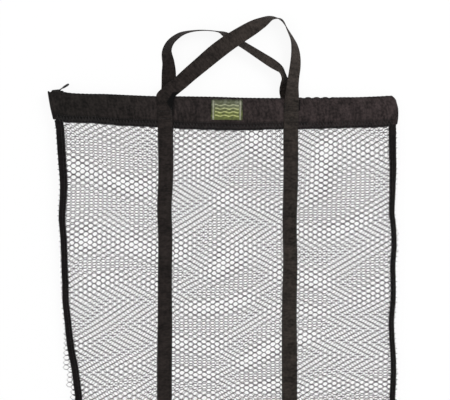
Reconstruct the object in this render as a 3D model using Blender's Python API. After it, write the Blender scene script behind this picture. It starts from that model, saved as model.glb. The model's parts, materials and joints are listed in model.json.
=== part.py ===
"""A fish keep bag lying flat on its back: a wide netting bag with a webbing band and a zip round its mouth.

Two webbing straps run down each face from the band to the hem, and each pair goes on past the mouth as a
loose carrying handle. The mouth runs along X, the handles lie towards +Y, and the front faces up (+Z).
Metres. The footprint's centre is the origin, and the bag lies on the plane z = 0.
"""

import math

import bmesh
import bpy
from mathutils import Matrix, Vector

# Overall sizes
MOUTH_WIDTH = 0.598
BAG_LENGTH = 0.600
SIDE_MARGIN = 0.014  # from an end of the mouth in to the middle of the side binding
MOUTH_DEPTH = 0.014  # inside the band, between its two long sides
HEM_OPENING = 0.003  # between the nets where the hem holds them

# Sewn materials
BAND_HEIGHT = 0.050
BAND_THICKNESS = 0.0018
BAND_CORNER = 0.0015  # inner radius where the band turns at a side of the mouth
WEBBING_WIDTH = 0.025
WEBBING_THICKNESS = 0.0016
STRAP_SPACING = 0.215
STRAP_CENTRE = 0.006
BINDING_WIDTH = 0.011
BINDING_THICKNESS = 0.0016  # the straps' kind of webbing, folded lengthwise
BINDING_FOLD = 0.0016  # the folded edge of a binding
BINDING_STEPS = 12  # stretches of a binding between the band and the hem
HEM_HEIGHT = 0.014
STRAP_STEP = 0.010  # length of the slope where a strap leaves the band or the hem
LEFT_DRAW = 0.045  # how far the left side lies drawn in at the hem
LEFT_DRAW_CURVE = 1.3  # 1 draws it in along a straight line
RIGHT_DRAW = -0.007

# Netting
NET_THICKNESS = 0.0012
NET_STRAND = 0.0030
NET_PITCH = 0.052  # from one mesh to the next along a column
FRONT_NET_SHIFT = 0.4  # of a pitch, so that the two nets' meshes don't lie on each other
NET_TUCK = 0.0085  # how far the netting runs in behind the band
SEAM_TUCK = 0.0080  # how far it runs into a binding or the hem

# Zip
TAPE_THICKNESS = 0.0008
TAPE_HEIGHT = 0.016
TAPE_LEG = 0.0022  # the turned-in edge that the teeth grip
TOOTH_PITCH = 0.005
TOOTH_LENGTH = 0.0026
TOOTH_TIP_LENGTH = 0.0016
TOOTH_HEIGHT = 0.0036
TOOTH_REACH = 0.0021
TEETH_TOP = 0.0005  # over the band's top edge
STOP_LENGTH = 0.0026
SLIDER_LENGTH = 0.016
SLIDER_PLATE = 0.0012
BRIDGE_WIDTH = 0.0024
BRIDGE_REACH = 0.0034
BRIDGE_BAR = 0.0010
PULLER_LENGTH = 0.021
PULLER_WIDTH = 0.0060
PULLER_THICKNESS = 0.0012
PULLER_PIN = 0.0005  # radius of the bar that turns under the bridge
PULLER_REST = math.radians(33)

# Label
LABEL_SIZE = (0.054, 0.035)
LABEL_CENTRE = (0.0035, -0.0268)
LABEL_THICKNESS = 0.0008

# Gaps between pieces that touch, and running clearances
FIT = 0.0003
SLIDE_CLEARANCE = 0.0005

# Heights of the layers. The front ones mirror the back ones in the bag's middle plane.
BAND_BACK = WEBBING_THICKNESS + FIT
BAND_INNER = BAND_BACK + BAND_THICKNESS
MIDDLE = BAND_INNER + MOUTH_DEPTH / 2
LINING = BAND_INNER + FIT  # where the netting and the zip tapes lie on the band

# The front net slopes from the mouth to the hem.
NET_TOP = -BAND_HEIGHT + NET_TUCK
NET_BOTTOM = -BAG_LENGTH + HEM_HEIGHT - SEAM_TUCK
FRONT_NET_HIGH = 2 * MIDDLE - LINING - NET_THICKNESS
FRONT_NET_LOW = LINING + NET_THICKNESS + HEM_OPENING
NET_SLOPE = (FRONT_NET_HIGH - FRONT_NET_LOW) / (NET_TOP - NET_BOTTOM)

# The zip, measured from the band's top edge
TEETH_BOTTOM = TEETH_TOP - TOOTH_HEIGHT
LEG_MIDDLE = (TEETH_TOP + TEETH_BOTTOM) / 2
TOOTH_ROOT = LINING + TAPE_THICKNESS + FIT
TOOTH_TIP = TOOTH_ROOT + TOOTH_REACH
LEG_END = LINING + TAPE_LEG
MOUTH_END = MOUTH_WIDTH / 2 - BAND_THICKNESS
TAPE_END = MOUTH_END - BAND_CORNER
LEFT_STOP = -TAPE_END + STOP_LENGTH / 2
RIGHT_STOP = TAPE_END - STOP_LENGTH * 1.5
SLIDER_REST = LEFT_STOP + STOP_LENGTH / 2 + FIT + SLIDER_LENGTH / 2

# Handle routes, chosen by hand: x and y of the webbing's middle in millimetres from the middle of the straps
# and from the mouth, its tilt in degrees (0 flat, 90 on edge), and how high its lower edge lies.
ROUTE_SPACING = 215.0
FRONT_ROUTE = [
    (-107.5, 0.3, 0, "strap"),
    (-107.2, 4.0, 0, "strap"),
    (-105.9, 7.6, 0, "strap"),
    (-102.0, 12.4, 0, "strap"),
    (-82.0, 26.0, 0, "strap"),
    (-46.0, 51.5, 0, "over"),
    (-8.0, 80.5, 0, "over"),
    (28.0, 109.0, 4, "over"),
    (54.0, 128.0, 30, 0.012),
    (76.0, 137.0, 70, 0.002),
    (93.0, 130.0, 86, 0.0),
    (103.0, 111.0, 86, 0.0),
    (110.0, 91.0, 74, 0.002),
    (113.5, 70.0, 58, 0.007),
    (113.0, 48.0, 46, 0.011),
    (111.0, 30.0, 30, 0.015),
    (108.8, 16.0, 8, "strap"),
    (107.7, 8.0, 0, "strap"),
    (107.5, 0.3, 0, "strap"),
]
BACK_ROUTE = [
    (-107.5, 0.3, 0, 0.0),
    (-107.0, 8.0, 0, 0.0),
    (-104.4, 20.0, 0, 0.0),
    (-102.0, 34.0, 6, 0.0),
    (-104.0, 55.0, 28, 0.0),
    (-106.0, 74.0, 50, 0.0),
    (-100.5, 91.0, 70, 0.0),
    (-84.0, 106.0, 86, 0.0),
    (-54.0, 111.0, 90, 0.0),
    (-26.0, 109.5, 84, 0.0),
    (-5.0, 101.5, 62, 0.0),
    (15.0, 88.0, 54, 0.0),
    (48.0, 68.5, 52, 0.0),
    (70.0, 56.5, 52, 0.0),
    (88.0, 43.0, 54, 0.0),
    (96.0, 30.0, 40, 0.0),
    (102.0, 18.0, 14, 0.0),
    (106.4, 8.0, 0, 0.0),
    (107.5, 0.3, 0, 0.0),
]
STEEPEST_UNDER = math.radians(62)  # the back handle's tilt where the front one crosses it
ROUTE_STEP = 0.006  # from one station of a handle to the next, at most


def clear_scene():
    for obj in list(bpy.data.objects):
        bpy.data.objects.remove(obj, do_unlink=True)


def material(name, colour, roughness, metallic=0.0):
    made = bpy.data.materials.new(name)
    made.use_nodes = True
    shader = made.node_tree.nodes["Principled BSDF"]
    shader.inputs["Base Color"].default_value = (*colour, 1.0)
    shader.inputs["Roughness"].default_value = roughness
    shader.inputs["Metallic"].default_value = metallic
    made.diffuse_color = (*colour, 1.0)
    return made


def webbing_black(name):
    return material(name, (0.022, 0.021, 0.021), 0.85)


def net_black(name):
    return material(name, (0.045, 0.043, 0.045), 0.75)


def tape_black(name):
    return material(name, (0.008, 0.008, 0.008), 0.9)


def metal_black(name):
    return material(name, (0.05, 0.05, 0.052), 0.4, 0.6)


def label_green(name):
    return material(name, (0.23, 0.26, 0.16), 0.8)


def object_of(name, mesh_data, finish, parent, location=(0, 0, 0)):
    """A named object from a bmesh, with its normals turned outwards."""
    bmesh.ops.recalc_face_normals(mesh_data, faces=mesh_data.faces[:])
    mesh = bpy.data.meshes.new(name)
    mesh_data.to_mesh(mesh)
    mesh_data.free()
    obj = bpy.data.objects.new(name, mesh)
    bpy.context.scene.collection.objects.link(obj)
    if finish:
        mesh.materials.append(finish(name))
    obj.parent = parent
    obj.location = location
    return obj


def empty(name, parent, location=(0, 0, 0)):
    made = bpy.data.objects.new(name, None)
    bpy.context.scene.collection.objects.link(made)
    made.parent = parent
    made.location = location
    return made


def helper(obj):
    """Marks an object that only cuts or fills another one."""
    obj.hide_render = True
    obj.display_type = "WIRE"
    return obj


def loft(sections):
    """A closed body through outlines that all have as many points."""
    body = bmesh.new()
    rings = [[body.verts.new(point) for point in outline] for outline in sections]
    for ring, following in zip(rings, rings[1:]):
        for i in range(len(ring)):
            j = (i + 1) % len(ring)
            body.faces.new((ring[i], ring[j], following[j], following[i]))
    body.faces.new(rings[0])
    body.faces.new(rings[-1])
    return body


def along_x(outline, start, end):
    """An outline of (y, z) points drawn out along X."""
    return loft([[(x, y, z) for y, z in outline] for x in (start, end)])


def along_y(outline, start, end):
    """An outline of (x, z) points drawn out along Y."""
    return loft([[(x, y, z) for x, z in outline] for y in (start, end)])


def along_z(outline, start, end):
    """An outline of (x, y) points drawn out along Z."""
    return loft([[(x, y, z) for x, y in outline] for z in (start, end)])


def box(low, high):
    return along_z([(low[0], low[1]), (high[0], low[1]), (high[0], high[1]), (low[0], high[1])], low[2], high[2])


def arc(centre, radius, start, end, steps=5):
    """Points on a round stretch, with its angles in degrees."""
    turns = [math.radians(start + (end - start) * i / steps) for i in range(steps + 1)]
    return [(centre[0] + radius * math.cos(a), centre[1] + radius * math.sin(a)) for a in turns]


def unite(obj, *others):
    for i, other in enumerate(others):
        union = obj.modifiers.new(f"union_{i}", "BOOLEAN")
        union.operation = "UNION"
        union.solver = "EXACT"
        union.object = helper(other)


def on_face(z, face):
    """A height given for the back, or its mirror image for the front."""
    return z if face == "back" else 2 * MIDDLE - z


def facing(outline, face):
    """An outline whose second value is a height, on the named face of the bag."""
    return [(across, on_face(z, face)) for across, z in outline]


def side_x(side, y):
    """Middle of a side binding at height y. The left side lies drawn in towards the hem."""
    down = max(0.0, (-BAND_HEIGHT - y) / (BAG_LENGTH - BAND_HEIGHT))
    middle = MOUTH_WIDTH / 2 - SIDE_MARGIN
    if side == "left":
        return -middle + LEFT_DRAW * down**LEFT_DRAW_CURVE
    return middle - RIGHT_DRAW * down


def front_net_outer(y):
    """Height of the front net's outer face."""
    return FRONT_NET_LOW + NET_THICKNESS + NET_SLOPE * (y - NET_BOTTOM)


def seam_top(y):
    """Height of the outer face of a binding's front side."""
    return front_net_outer(y) + FIT + BINDING_THICKNESS


def strap_x(side):
    return STRAP_CENTRE + (STRAP_SPACING / 2 if side == "right" else -STRAP_SPACING / 2)


def mouth_band(face, parent):
    """Half of the mouth's band: a long side and the two turned ends that meet the other half."""
    half = MOUTH_WIDTH / 2
    seam = MIDDLE - FIT / 2
    outer = BAND_CORNER + BAND_THICKNESS
    turn = (half - outer, BAND_BACK + outer)
    outline = [(-half, seam)]
    outline += arc((-turn[0], turn[1]), outer, 180, 270)
    outline += arc(turn, outer, 270, 360)
    outline += [(half, seam), (half - BAND_THICKNESS, seam)]
    outline += arc(turn, BAND_CORNER, 360, 270)
    outline += arc((-turn[0], turn[1]), BAND_CORNER, 270, 180)
    outline += [(-half + BAND_THICKNESS, seam)]
    return object_of(f"{face}_band", along_y(facing(outline, face), -BAND_HEIGHT, 0), webbing_black, parent)


def net_outline():
    """Corners of a net, anticlockwise. The drawn-in left side has one at each quarter of its length."""
    tuck = BINDING_WIDTH / 2 - SEAM_TUCK
    heights = [NET_TOP + (NET_BOTTOM - NET_TOP) * i / 4 for i in range(5)]
    left = [(side_x("left", y) + tuck, y) for y in heights]
    right = [(side_x("right", y) - tuck, y) for y in (NET_BOTTOM, NET_TOP)]
    return [Vector((x, y, 0)) for x, y in left + right]


def netting(face, parent):
    """Hexagonal meshes in columns, clipped to the net's outline, each opened up inside its strands."""
    side = NET_PITCH / math.sqrt(3)
    outline = net_outline()
    low = Vector((min(p.x for p in outline), min(p.y for p in outline)))
    high = Vector((max(p.x for p in outline), max(p.y for p in outline)))
    columns = math.ceil((high.x - low.x) / (1.5 * side)) + 1
    rows = math.ceil((high.y - low.y) / NET_PITCH) + 2
    shift = FRONT_NET_SHIFT if face == "front" else 0
    net = bmesh.new()
    for column in range(columns):
        for row in range(rows):
            middle = (low.x + 1.5 * side * column, low.y + NET_PITCH * (row - (column % 2) / 2 - shift))
            corners = arc(middle, side, 0, 300, 5)
            net.faces.new([net.verts.new((x, y, 0)) for x, y in corners])
    bmesh.ops.remove_doubles(net, verts=net.verts[:], dist=side / 100)
    for start, end in zip(outline, outline[1:] + outline[:1]):
        outwards = Vector((end.y - start.y, start.x - end.x, 0))
        everything = net.verts[:] + net.edges[:] + net.faces[:]
        bmesh.ops.bisect_plane(net, geom=everything, plane_co=start, plane_no=outwards, clear_outer=True)
    # A mesh cut so narrow that its strands would meet stays closed.
    wide = [f for f in net.faces if f.calc_area() > NET_STRAND * f.calc_perimeter()]
    bmesh.ops.inset_individual(net, faces=wide, thickness=NET_STRAND / 2, use_even_offset=True)
    bmesh.ops.delete(net, geom=wide, context="FACES")
    grown = bmesh.ops.extrude_face_region(net, geom=net.faces[:])
    raised = [item for item in grown["geom"] if isinstance(item, bmesh.types.BMVert)]
    bmesh.ops.translate(net, verts=raised, vec=(0, 0, NET_THICKNESS))
    return object_of(f"{face}_net", net, net_black, parent)


def side_binding(side, parent):
    """Tape folded over the edges of both nets, open towards the bag. It narrows with the bag to the hem."""
    top = -BAND_HEIGHT - FIT
    bottom = -BAG_LENGTH + HEM_HEIGHT + FIT
    back = LINING - FIT - BINDING_THICKNESS
    outwards = 1 if side == "right" else -1
    sections = []
    for i in range(BINDING_STEPS + 1):
        y = top + (bottom - top) * i / BINDING_STEPS
        edge = side_x(side, y) + outwards * BINDING_WIDTH / 2
        mouth = edge - outwards * BINDING_WIDTH
        fold = edge - outwards * BINDING_FOLD
        front = seam_top(y)
        outline = [(edge, back), (edge, front), (mouth, front), (mouth, front - BINDING_THICKNESS)]
        outline += [(fold, front - BINDING_THICKNESS), (fold, back + BINDING_THICKNESS)]
        outline += [(mouth, back + BINDING_THICKNESS), (mouth, back)]
        sections.append([(x, y, z) for x, z in outline])
    return object_of(f"{side}_side_binding", loft(sections), tape_black, parent)


def bottom_hem(parent):
    """The folded hem that closes the bag's bottom, open towards the nets."""
    bottom = -BAG_LENGTH
    top = bottom + HEM_HEIGHT
    fold = bottom + BINDING_FOLD
    front = seam_top(top)
    inner = front - BINDING_THICKNESS
    outline = [(bottom, BAND_BACK), (top, BAND_BACK), (top, BAND_INNER), (fold, BAND_INNER)]
    outline += [(fold, inner), (top, inner), (top, front), (bottom, front)]
    start = side_x("left", bottom) - BINDING_WIDTH / 2
    end = side_x("right", bottom) + BINDING_WIDTH / 2
    return object_of("bottom_hem", along_x(outline, start, end), tape_black, parent)


def strap(face, side, parent):
    """Webbing down one face. It lies on the band, steps down onto the net and up again onto the hem."""
    hem_top = -BAG_LENGTH + HEM_HEIGHT
    high, low = -BAND_HEIGHT - STRAP_STEP, hem_top + STRAP_STEP
    if face == "back":
        edge = FIT
        on_band = on_hem = 0
        on_net = {y: LINING - FIT - WEBBING_THICKNESS for y in (high, low)}
    else:
        edge = 3 * FIT  # the front step is the steeper one, so it starts farther from the edge
        on_band = 2 * MIDDLE - BAND_BACK + FIT
        on_hem = seam_top(hem_top) + FIT
        on_net = {y: front_net_outer(y) + FIT for y in (high, low)}
    path = [(0, on_band), (-BAND_HEIGHT - edge, on_band), (high, on_net[high])]
    path += [(low, on_net[low]), (hem_top + edge, on_hem), (-BAG_LENGTH, on_hem)]
    left = strap_x(side) - WEBBING_WIDTH / 2
    right = left + WEBBING_WIDTH
    sections = []
    for y, z in path:
        top = z + WEBBING_THICKNESS
        sections.append([(left, y, z), (right, y, z), (right, y, top), (left, y, top)])
    return object_of(f"{face}_{side}_strap", loft(sections), webbing_black, parent)


def zip_half(face, parent):
    """A zip tape sewn inside the band, with its edge turned in and a row of teeth moulded on that edge."""
    leg_low, leg_high = LEG_MIDDLE - TAPE_THICKNESS / 2, LEG_MIDDLE + TAPE_THICKNESS / 2
    inner = LINING + TAPE_THICKNESS
    tape_foot = LEG_MIDDLE - TAPE_HEIGHT
    outline = [(tape_foot, LINING), (leg_high, LINING), (leg_high, LEG_END)]
    outline += [(leg_low, LEG_END), (leg_low, inner), (tape_foot, inner)]
    half = object_of(f"{face}_zip_half", along_x(facing(outline, face), -TAPE_END, TAPE_END), tape_black, parent)
    row = bmesh.new()
    first = LEFT_STOP + STOP_LENGTH / 2 + FIT + TOOTH_LENGTH / 2
    last = RIGHT_STOP - STOP_LENGTH / 2 - FIT - TOOTH_LENGTH / 2
    wide, narrow = TOOTH_LENGTH / 2, TOOTH_TIP_LENGTH / 2
    tooth = [(-wide, TOOTH_ROOT), (wide, TOOTH_ROOT), (narrow, TOOTH_TIP), (-narrow, TOOTH_TIP)]
    for i in range(math.floor((last - first) / TOOTH_PITCH) + 1):
        at = first + i * TOOTH_PITCH
        outline = facing([(at + x, z) for x, z in tooth], face)
        single = along_y(outline, TEETH_BOTTOM, TEETH_TOP)
        spare = bpy.data.meshes.new("tooth")
        single.to_mesh(spare)
        single.free()
        row.from_mesh(spare)
        bpy.data.meshes.remove(spare)
    unite(half, object_of(f"{face}_teeth", row, None, parent))
    return half


def stop_groove(z_end):
    """Lower and upper edge of the groove that a stop has for a tape's turned-in edge, and the groove's end."""
    room = TAPE_THICKNESS / 2 + FIT
    return LEG_MIDDLE - room, LEG_MIDDLE + room, z_end + FIT


def top_stop(face, parent):
    """A small clamp at the closed end of one row."""
    low, high, end = stop_groove(LEG_END)
    outline = [(TEETH_BOTTOM, TOOTH_ROOT), (TEETH_BOTTOM, TOOTH_TIP), (TEETH_TOP, TOOTH_TIP)]
    outline += [(TEETH_TOP, TOOTH_ROOT), (high, TOOTH_ROOT), (high, end), (low, end), (low, TOOTH_ROOT)]
    start = RIGHT_STOP - STOP_LENGTH / 2
    clamp = along_x(facing(outline, face), start, start + STOP_LENGTH)
    return object_of(f"{face}_top_stop", clamp, metal_black, parent)


def bottom_stop(parent):
    """The clamp that holds both rows together at the end where the zip starts to close."""
    low, high, end = stop_groove(LEG_END)
    back = [(low, TOOTH_ROOT), (low, end), (high, end), (high, TOOTH_ROOT)]
    outline = [(TEETH_BOTTOM, TOOTH_ROOT), *back, (TEETH_TOP, TOOTH_ROOT)]
    outline += facing(reversed(outline), "front")
    start = LEFT_STOP - STOP_LENGTH / 2
    return object_of("zip_bottom_stop", along_x(outline, start, start + STOP_LENGTH), metal_black, parent)


def slider(parent):
    """Two plates on a wedge-shaped post. The rows run between the plates, one on each side of the post."""
    half = SLIDER_LENGTH / 2
    width = MOUTH_DEPTH / 2 - SLIDE_CLEARANCE
    tail_share = 0.8  # of the width at the nose
    plate_low = TEETH_TOP + FIT
    plate_top = plate_low + SLIDER_PLATE
    under_top = TEETH_BOTTOM - FIT
    inside = MIDDLE - LINING - TAPE_THICKNESS - FIT
    slot = MIDDLE - TOOTH_TIP
    post = slot - SLIDE_CLEARANCE

    def plate(wide, narrow):
        corner = wide - narrow
        outline = [(-half, -narrow + corner), (-half + corner, -narrow), (0, -wide), (half - corner, -wide)]
        outline += [(half, -wide + corner), (half, wide - corner), (half - corner, wide), (0, wide)]
        return outline + [(-half + corner, narrow), (-half, narrow - corner)]

    def part(name, body):
        return object_of(name, body, None, parent)

    cover = along_y(plate(width, tail_share * width), plate_low, plate_top)
    top = object_of("zip_slider", cover, metal_black, parent)
    under = along_y(plate(inside, tail_share * inside), under_top - SLIDER_PLATE, under_top)
    bottom = part("slider_under_plate", under)
    overlap = SLIDER_PLATE / 2
    post_start, post_middle, post_end = -0.1 * half, 0.5 * half, 0.85 * half
    wedge = [(post_start, 0), (post_middle, -post), (post_end, 0), (post_middle, post)]
    core = part("slider_post", along_y(wedge, under_top - overlap, plate_low + overlap))
    lip_foot = LEG_MIDDLE + TAPE_THICKNESS / 2 + FIT
    lip_inner = MIDDLE - TOOTH_ROOT + FIT / 2
    lip_end = 0.7 * half
    lips = []
    for sign, name in ((-1, "slider_back_lip"), (1, "slider_front_lip")):
        faces = sorted((sign * lip_inner, sign * width))
        lip = box((FIT, lip_foot, faces[0]), (lip_end, plate_low + overlap, faces[1]))
        lips.append(part(name, lip))
    gap = 2 * PULLER_PIN + 2 * FIT
    bridge_top = plate_top + gap + BRIDGE_BAR
    inner_reach = BRIDGE_REACH - BRIDGE_BAR
    arch = [(-BRIDGE_REACH, plate_top - overlap), (-BRIDGE_REACH, bridge_top - BRIDGE_BAR / 2)]
    arch += [(-inner_reach, bridge_top), (inner_reach, bridge_top), (BRIDGE_REACH, bridge_top - BRIDGE_BAR / 2)]
    arch += [(BRIDGE_REACH, plate_top - overlap), (inner_reach, plate_top - overlap), (inner_reach, plate_top + gap)]
    arch += [(-inner_reach, plate_top + gap), (-inner_reach, plate_top - overlap)]
    bridge = part("slider_bridge", along_z(arch, -BRIDGE_WIDTH / 2, BRIDGE_WIDTH / 2))
    unite(top, bottom, core, *lips, bridge)
    return plate_top + gap / 2


def puller(parent, pin_height):
    """A flat tab with an eye: the bar across its end turns under the slider's bridge."""
    half = PULLER_WIDTH / 2
    eye_half = BRIDGE_WIDTH / 2 + FIT
    eye_end = math.hypot(BRIDGE_REACH, PULLER_PIN + FIT + BRIDGE_BAR) + FIT
    tip = arc((PULLER_LENGTH - half, 0), half, -90, 90, 8)
    outline = [(-PULLER_PIN, -half), (eye_end + half, -half), *tip, (eye_end + half, half), (-PULLER_PIN, half)]
    body = bmesh.new()
    flat = body.faces.new([body.verts.new((x, 0, z)) for x, z in outline])
    grown = bmesh.ops.extrude_face_region(body, geom=[flat])
    lifted = [item for item in grown["geom"] if isinstance(item, bmesh.types.BMVert)]
    bmesh.ops.translate(body, verts=lifted, vec=(0, PULLER_THICKNESS, 0))
    bmesh.ops.translate(body, verts=body.verts[:], vec=(0, -PULLER_THICKNESS / 2, 0))
    tab = object_of("zip_puller", body, metal_black, parent, (0, pin_height, 0))
    tab.rotation_euler = (0, 0, PULLER_REST)
    eye = box((PULLER_PIN, -PULLER_THICKNESS, -eye_half), (eye_end, PULLER_THICKNESS, eye_half))
    thin = box((-2 * PULLER_PIN, PULLER_PIN, -eye_half), (PULLER_PIN * 2, PULLER_THICKNESS, eye_half))
    thin_low = box((-2 * PULLER_PIN, -PULLER_THICKNESS, -eye_half), (PULLER_PIN * 2, -PULLER_PIN, eye_half))
    for i, shape in enumerate((eye, thin, thin_low)):
        cutter = helper(object_of(f"puller_cut_{i}", shape, None, tab))
        cut = tab.modifiers.new(f"cut_{i}", "BOOLEAN")
        cut.operation = "DIFFERENCE"
        cut.solver = "EXACT"
        cut.object = cutter
    return tab


def on_curve(points, knots, at):
    """The point at a knot value on a curve through the middle two of four points."""

    def mix(first, second, low, high):
        return first.lerp(second, (at - knots[low]) / (knots[high] - knots[low]))

    sides = [mix(points[i], points[i + 1], i, i + 1) for i in range(3)]
    halves = [mix(sides[i], sides[i + 1], i, i + 2) for i in range(2)]
    return mix(halves[0], halves[1], 1, 2)


def smooth_route(points):
    """Stations on a smooth curve through a route, about ROUTE_STEP apart. Its knots go by the root of the length."""
    padded = [2 * points[0] - points[1], *points, 2 * points[-1] - points[-2]]
    stations = []
    for i in range(len(points) - 1):
        four = padded[i : i + 4]
        knots = [0.0]
        for start, end in zip(four, four[1:]):
            knots.append(knots[-1] + math.sqrt((end - start).length))
        steps = math.ceil((four[2] - four[1]).xy.length / ROUTE_STEP)
        for step in range(steps):
            stations.append(on_curve(four, knots, knots[1] + (knots[2] - knots[1]) * step / steps))
    return [*stations, points[-1]]


def handle(face, route, parent):
    """Loose webbing from one strap round to the other, turned on edge where it rounds the bend."""
    named = {
        "strap": 2 * MIDDLE - WEBBING_THICKNESS,
        "over": WEBBING_WIDTH * math.sin(STEEPEST_UNDER) + WEBBING_THICKNESS,
    }
    stretch = STRAP_SPACING / ROUTE_SPACING
    points = []
    for x, y, tilt, lift in route:
        height = named.get(lift, lift)
        points.append(Vector((STRAP_CENTRE + x * stretch, y / 1000, height, math.radians(tilt))))
    places = []
    for x, y, lift, tilt in smooth_route(points):
        tilt = min(max(tilt, 0.0), math.pi / 2)
        lift = max(lift, 0.0)
        rise = (WEBBING_WIDTH * math.sin(tilt) + WEBBING_THICKNESS * math.cos(tilt)) / 2
        places.append((Vector((x, y, lift + rise)), tilt))
    hinge = -FIT / 2 if face == "back" else 2 * MIDDLE + FIT / 2
    origin = Vector((STRAP_CENTRE, 0, hinge))
    sections = []
    for i, (place, tilt) in enumerate(places):
        ahead = places[min(i + 1, len(places) - 1)][0]
        behind = places[max(i - 1, 0)][0]
        forward = ahead - behind
        forward.z = 0
        forward.normalize()
        if i in (0, len(places) - 1):
            forward = Vector((0, 1 if i == 0 else -1, 0))
        across = forward.cross(Vector((0, 0, 1)))
        turned = Matrix.Rotation(-tilt, 3, forward)
        wide = turned @ across * (WEBBING_WIDTH / 2)
        thick = turned @ Vector((0, 0, WEBBING_THICKNESS / 2))
        centre = place - origin
        corners = (centre - wide - thick, centre + wide - thick, centre + wide + thick, centre - wide + thick)
        sections.append(corners)
    return object_of(f"{face}_handle", loft(sections), webbing_black, parent, origin)


def label(parent):
    """The woven label sewn on the front of the band."""
    low = 2 * MIDDLE - BAND_BACK + FIT
    corner = 0.0015
    wide, high = LABEL_SIZE[0] / 2 - corner, LABEL_SIZE[1] / 2 - corner
    outline = []
    for i, (x, y) in enumerate(((wide, high), (-wide, high), (-wide, -high), (wide, -high))):
        outline += arc((LABEL_CENTRE[0] + x, LABEL_CENTRE[1] + y), corner, 90 * i, 90 * i + 90, 3)
    return object_of("label", along_z(outline, low, low + LABEL_THICKNESS), label_green, parent)


def centre_footprint(root):
    """Moves the bag so that the middle of its footprint is the origin."""
    bpy.context.view_layer.update()
    solids = [obj for obj in bpy.data.objects if obj.type == "MESH" and not obj.hide_render]
    corners = [obj.matrix_world @ Vector(corner) for obj in solids for corner in obj.bound_box]
    for axis in (0, 1):
        values = [corner[axis] for corner in corners]
        root.location[axis] = -(min(values) + max(values)) / 2


def build():
    clear_scene()
    bag = empty("bag", None)
    for face in ("back", "front"):
        mouth_band(face, bag)
        zip_half(face, bag)
        top_stop(face, bag)
        for side in ("left", "right"):
            strap(face, side, bag)
    bottom_stop(bag)
    back_panel = empty("back_panel", bag, (0, 0, LINING))
    netting("back", back_panel)
    front_panel = empty("front_panel", bag, (0, NET_TOP, FRONT_NET_HIGH))
    front_panel.rotation_euler = (math.atan(NET_SLOPE), 0, 0)
    net = netting("front", front_panel)
    net.location = (0, -NET_TOP, 0)
    for side in ("left", "right"):
        side_binding(side, bag)
    bottom_hem(bag)
    label(bag)
    carriage = empty("slider_carriage", bag, (SLIDER_REST, 0, MIDDLE))
    pin_height = slider(carriage)
    puller(carriage, pin_height)
    handle("front", FRONT_ROUTE, bag)
    handle("back", BACK_ROUTE, bag)
    centre_footprint(bag)


build()
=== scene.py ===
"""A fish keep bag lying flat on a white table: the finish of every piece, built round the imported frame.

The bag's mouth runs along X and its handles lie towards +Y. Lengths in the outlines are in millimetres from
the middle of the mouth's top edge, as they were read off the photograph, and place() turns them into metres.
"""

import json
import random
from math import ceil, copysign, cos, exp, pi, radians, sin, sqrt

import bpy
import numpy as np
from mathutils import Matrix, Vector


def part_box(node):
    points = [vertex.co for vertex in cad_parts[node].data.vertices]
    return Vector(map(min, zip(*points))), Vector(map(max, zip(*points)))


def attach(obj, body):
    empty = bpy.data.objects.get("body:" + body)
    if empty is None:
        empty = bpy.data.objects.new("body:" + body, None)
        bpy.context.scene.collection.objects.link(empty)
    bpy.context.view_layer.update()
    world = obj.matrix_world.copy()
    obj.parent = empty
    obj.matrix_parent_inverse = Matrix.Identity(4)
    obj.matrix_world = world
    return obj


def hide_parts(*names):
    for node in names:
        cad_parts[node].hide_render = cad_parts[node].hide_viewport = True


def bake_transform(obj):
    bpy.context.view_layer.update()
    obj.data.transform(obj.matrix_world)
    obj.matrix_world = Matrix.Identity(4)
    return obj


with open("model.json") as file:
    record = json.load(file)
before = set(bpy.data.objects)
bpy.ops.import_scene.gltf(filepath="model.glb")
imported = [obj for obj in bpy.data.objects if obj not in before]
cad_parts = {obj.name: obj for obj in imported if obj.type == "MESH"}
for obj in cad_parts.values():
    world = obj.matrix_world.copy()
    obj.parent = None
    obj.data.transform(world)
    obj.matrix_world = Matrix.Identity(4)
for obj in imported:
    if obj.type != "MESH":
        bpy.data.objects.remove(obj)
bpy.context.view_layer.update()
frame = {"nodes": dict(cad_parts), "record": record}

# The table, the lamps and the camera
# The bag is photographed from straight above on a seamless white sweep, under a broad soft light from the
# upper right. The camera is rolled a little, as the bag lies slightly turned in the photograph.

MM = 0.001
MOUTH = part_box("back_band")[1][1]
VIEW_WIDTH = 0.7695
VIEW_MIDDLE = (0.0024, 0.0475)
VIEW_LEVEL = 0.012  # height at which the picture is that wide
VIEW_ROLL = radians(0.7527)
LENS, SENSOR = 85, 36


def place(x, y, z=0.0):
    """A point given in millimetres from the middle of the mouth."""
    return Vector((x * MM, MOUTH + y * MM, z * MM))


def new_object(name, data):
    made = bpy.data.objects.new(name, data)
    bpy.context.scene.collection.objects.link(made)
    return made


lens = bpy.data.cameras.new("camera")
lens.lens, lens.sensor_width, lens.sensor_fit = LENS, SENSOR, "HORIZONTAL"
camera = new_object("camera", lens)
camera.location = (*VIEW_MIDDLE, VIEW_WIDTH * LENS / SENSOR + VIEW_LEVEL)
camera.rotation_euler = (0, 0, VIEW_ROLL)
bpy.context.scene.camera = camera


def lamp(name, at, size, power):
    """A square soft box aimed at the bag."""
    light = bpy.data.lights.new(name, "AREA")
    light.size, light.energy = size, power
    made = new_object(name, light)
    made.location = at
    made.rotation_euler = (-Vector(at)).to_track_quat("-Z", "Y").to_euler()


lamp("key_lamp", (1.5, 1.1, 1.7), 1.1, 24)
lamp("fill_lamp", (-1.6, -0.6, 1.9), 1.6, 8)


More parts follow.
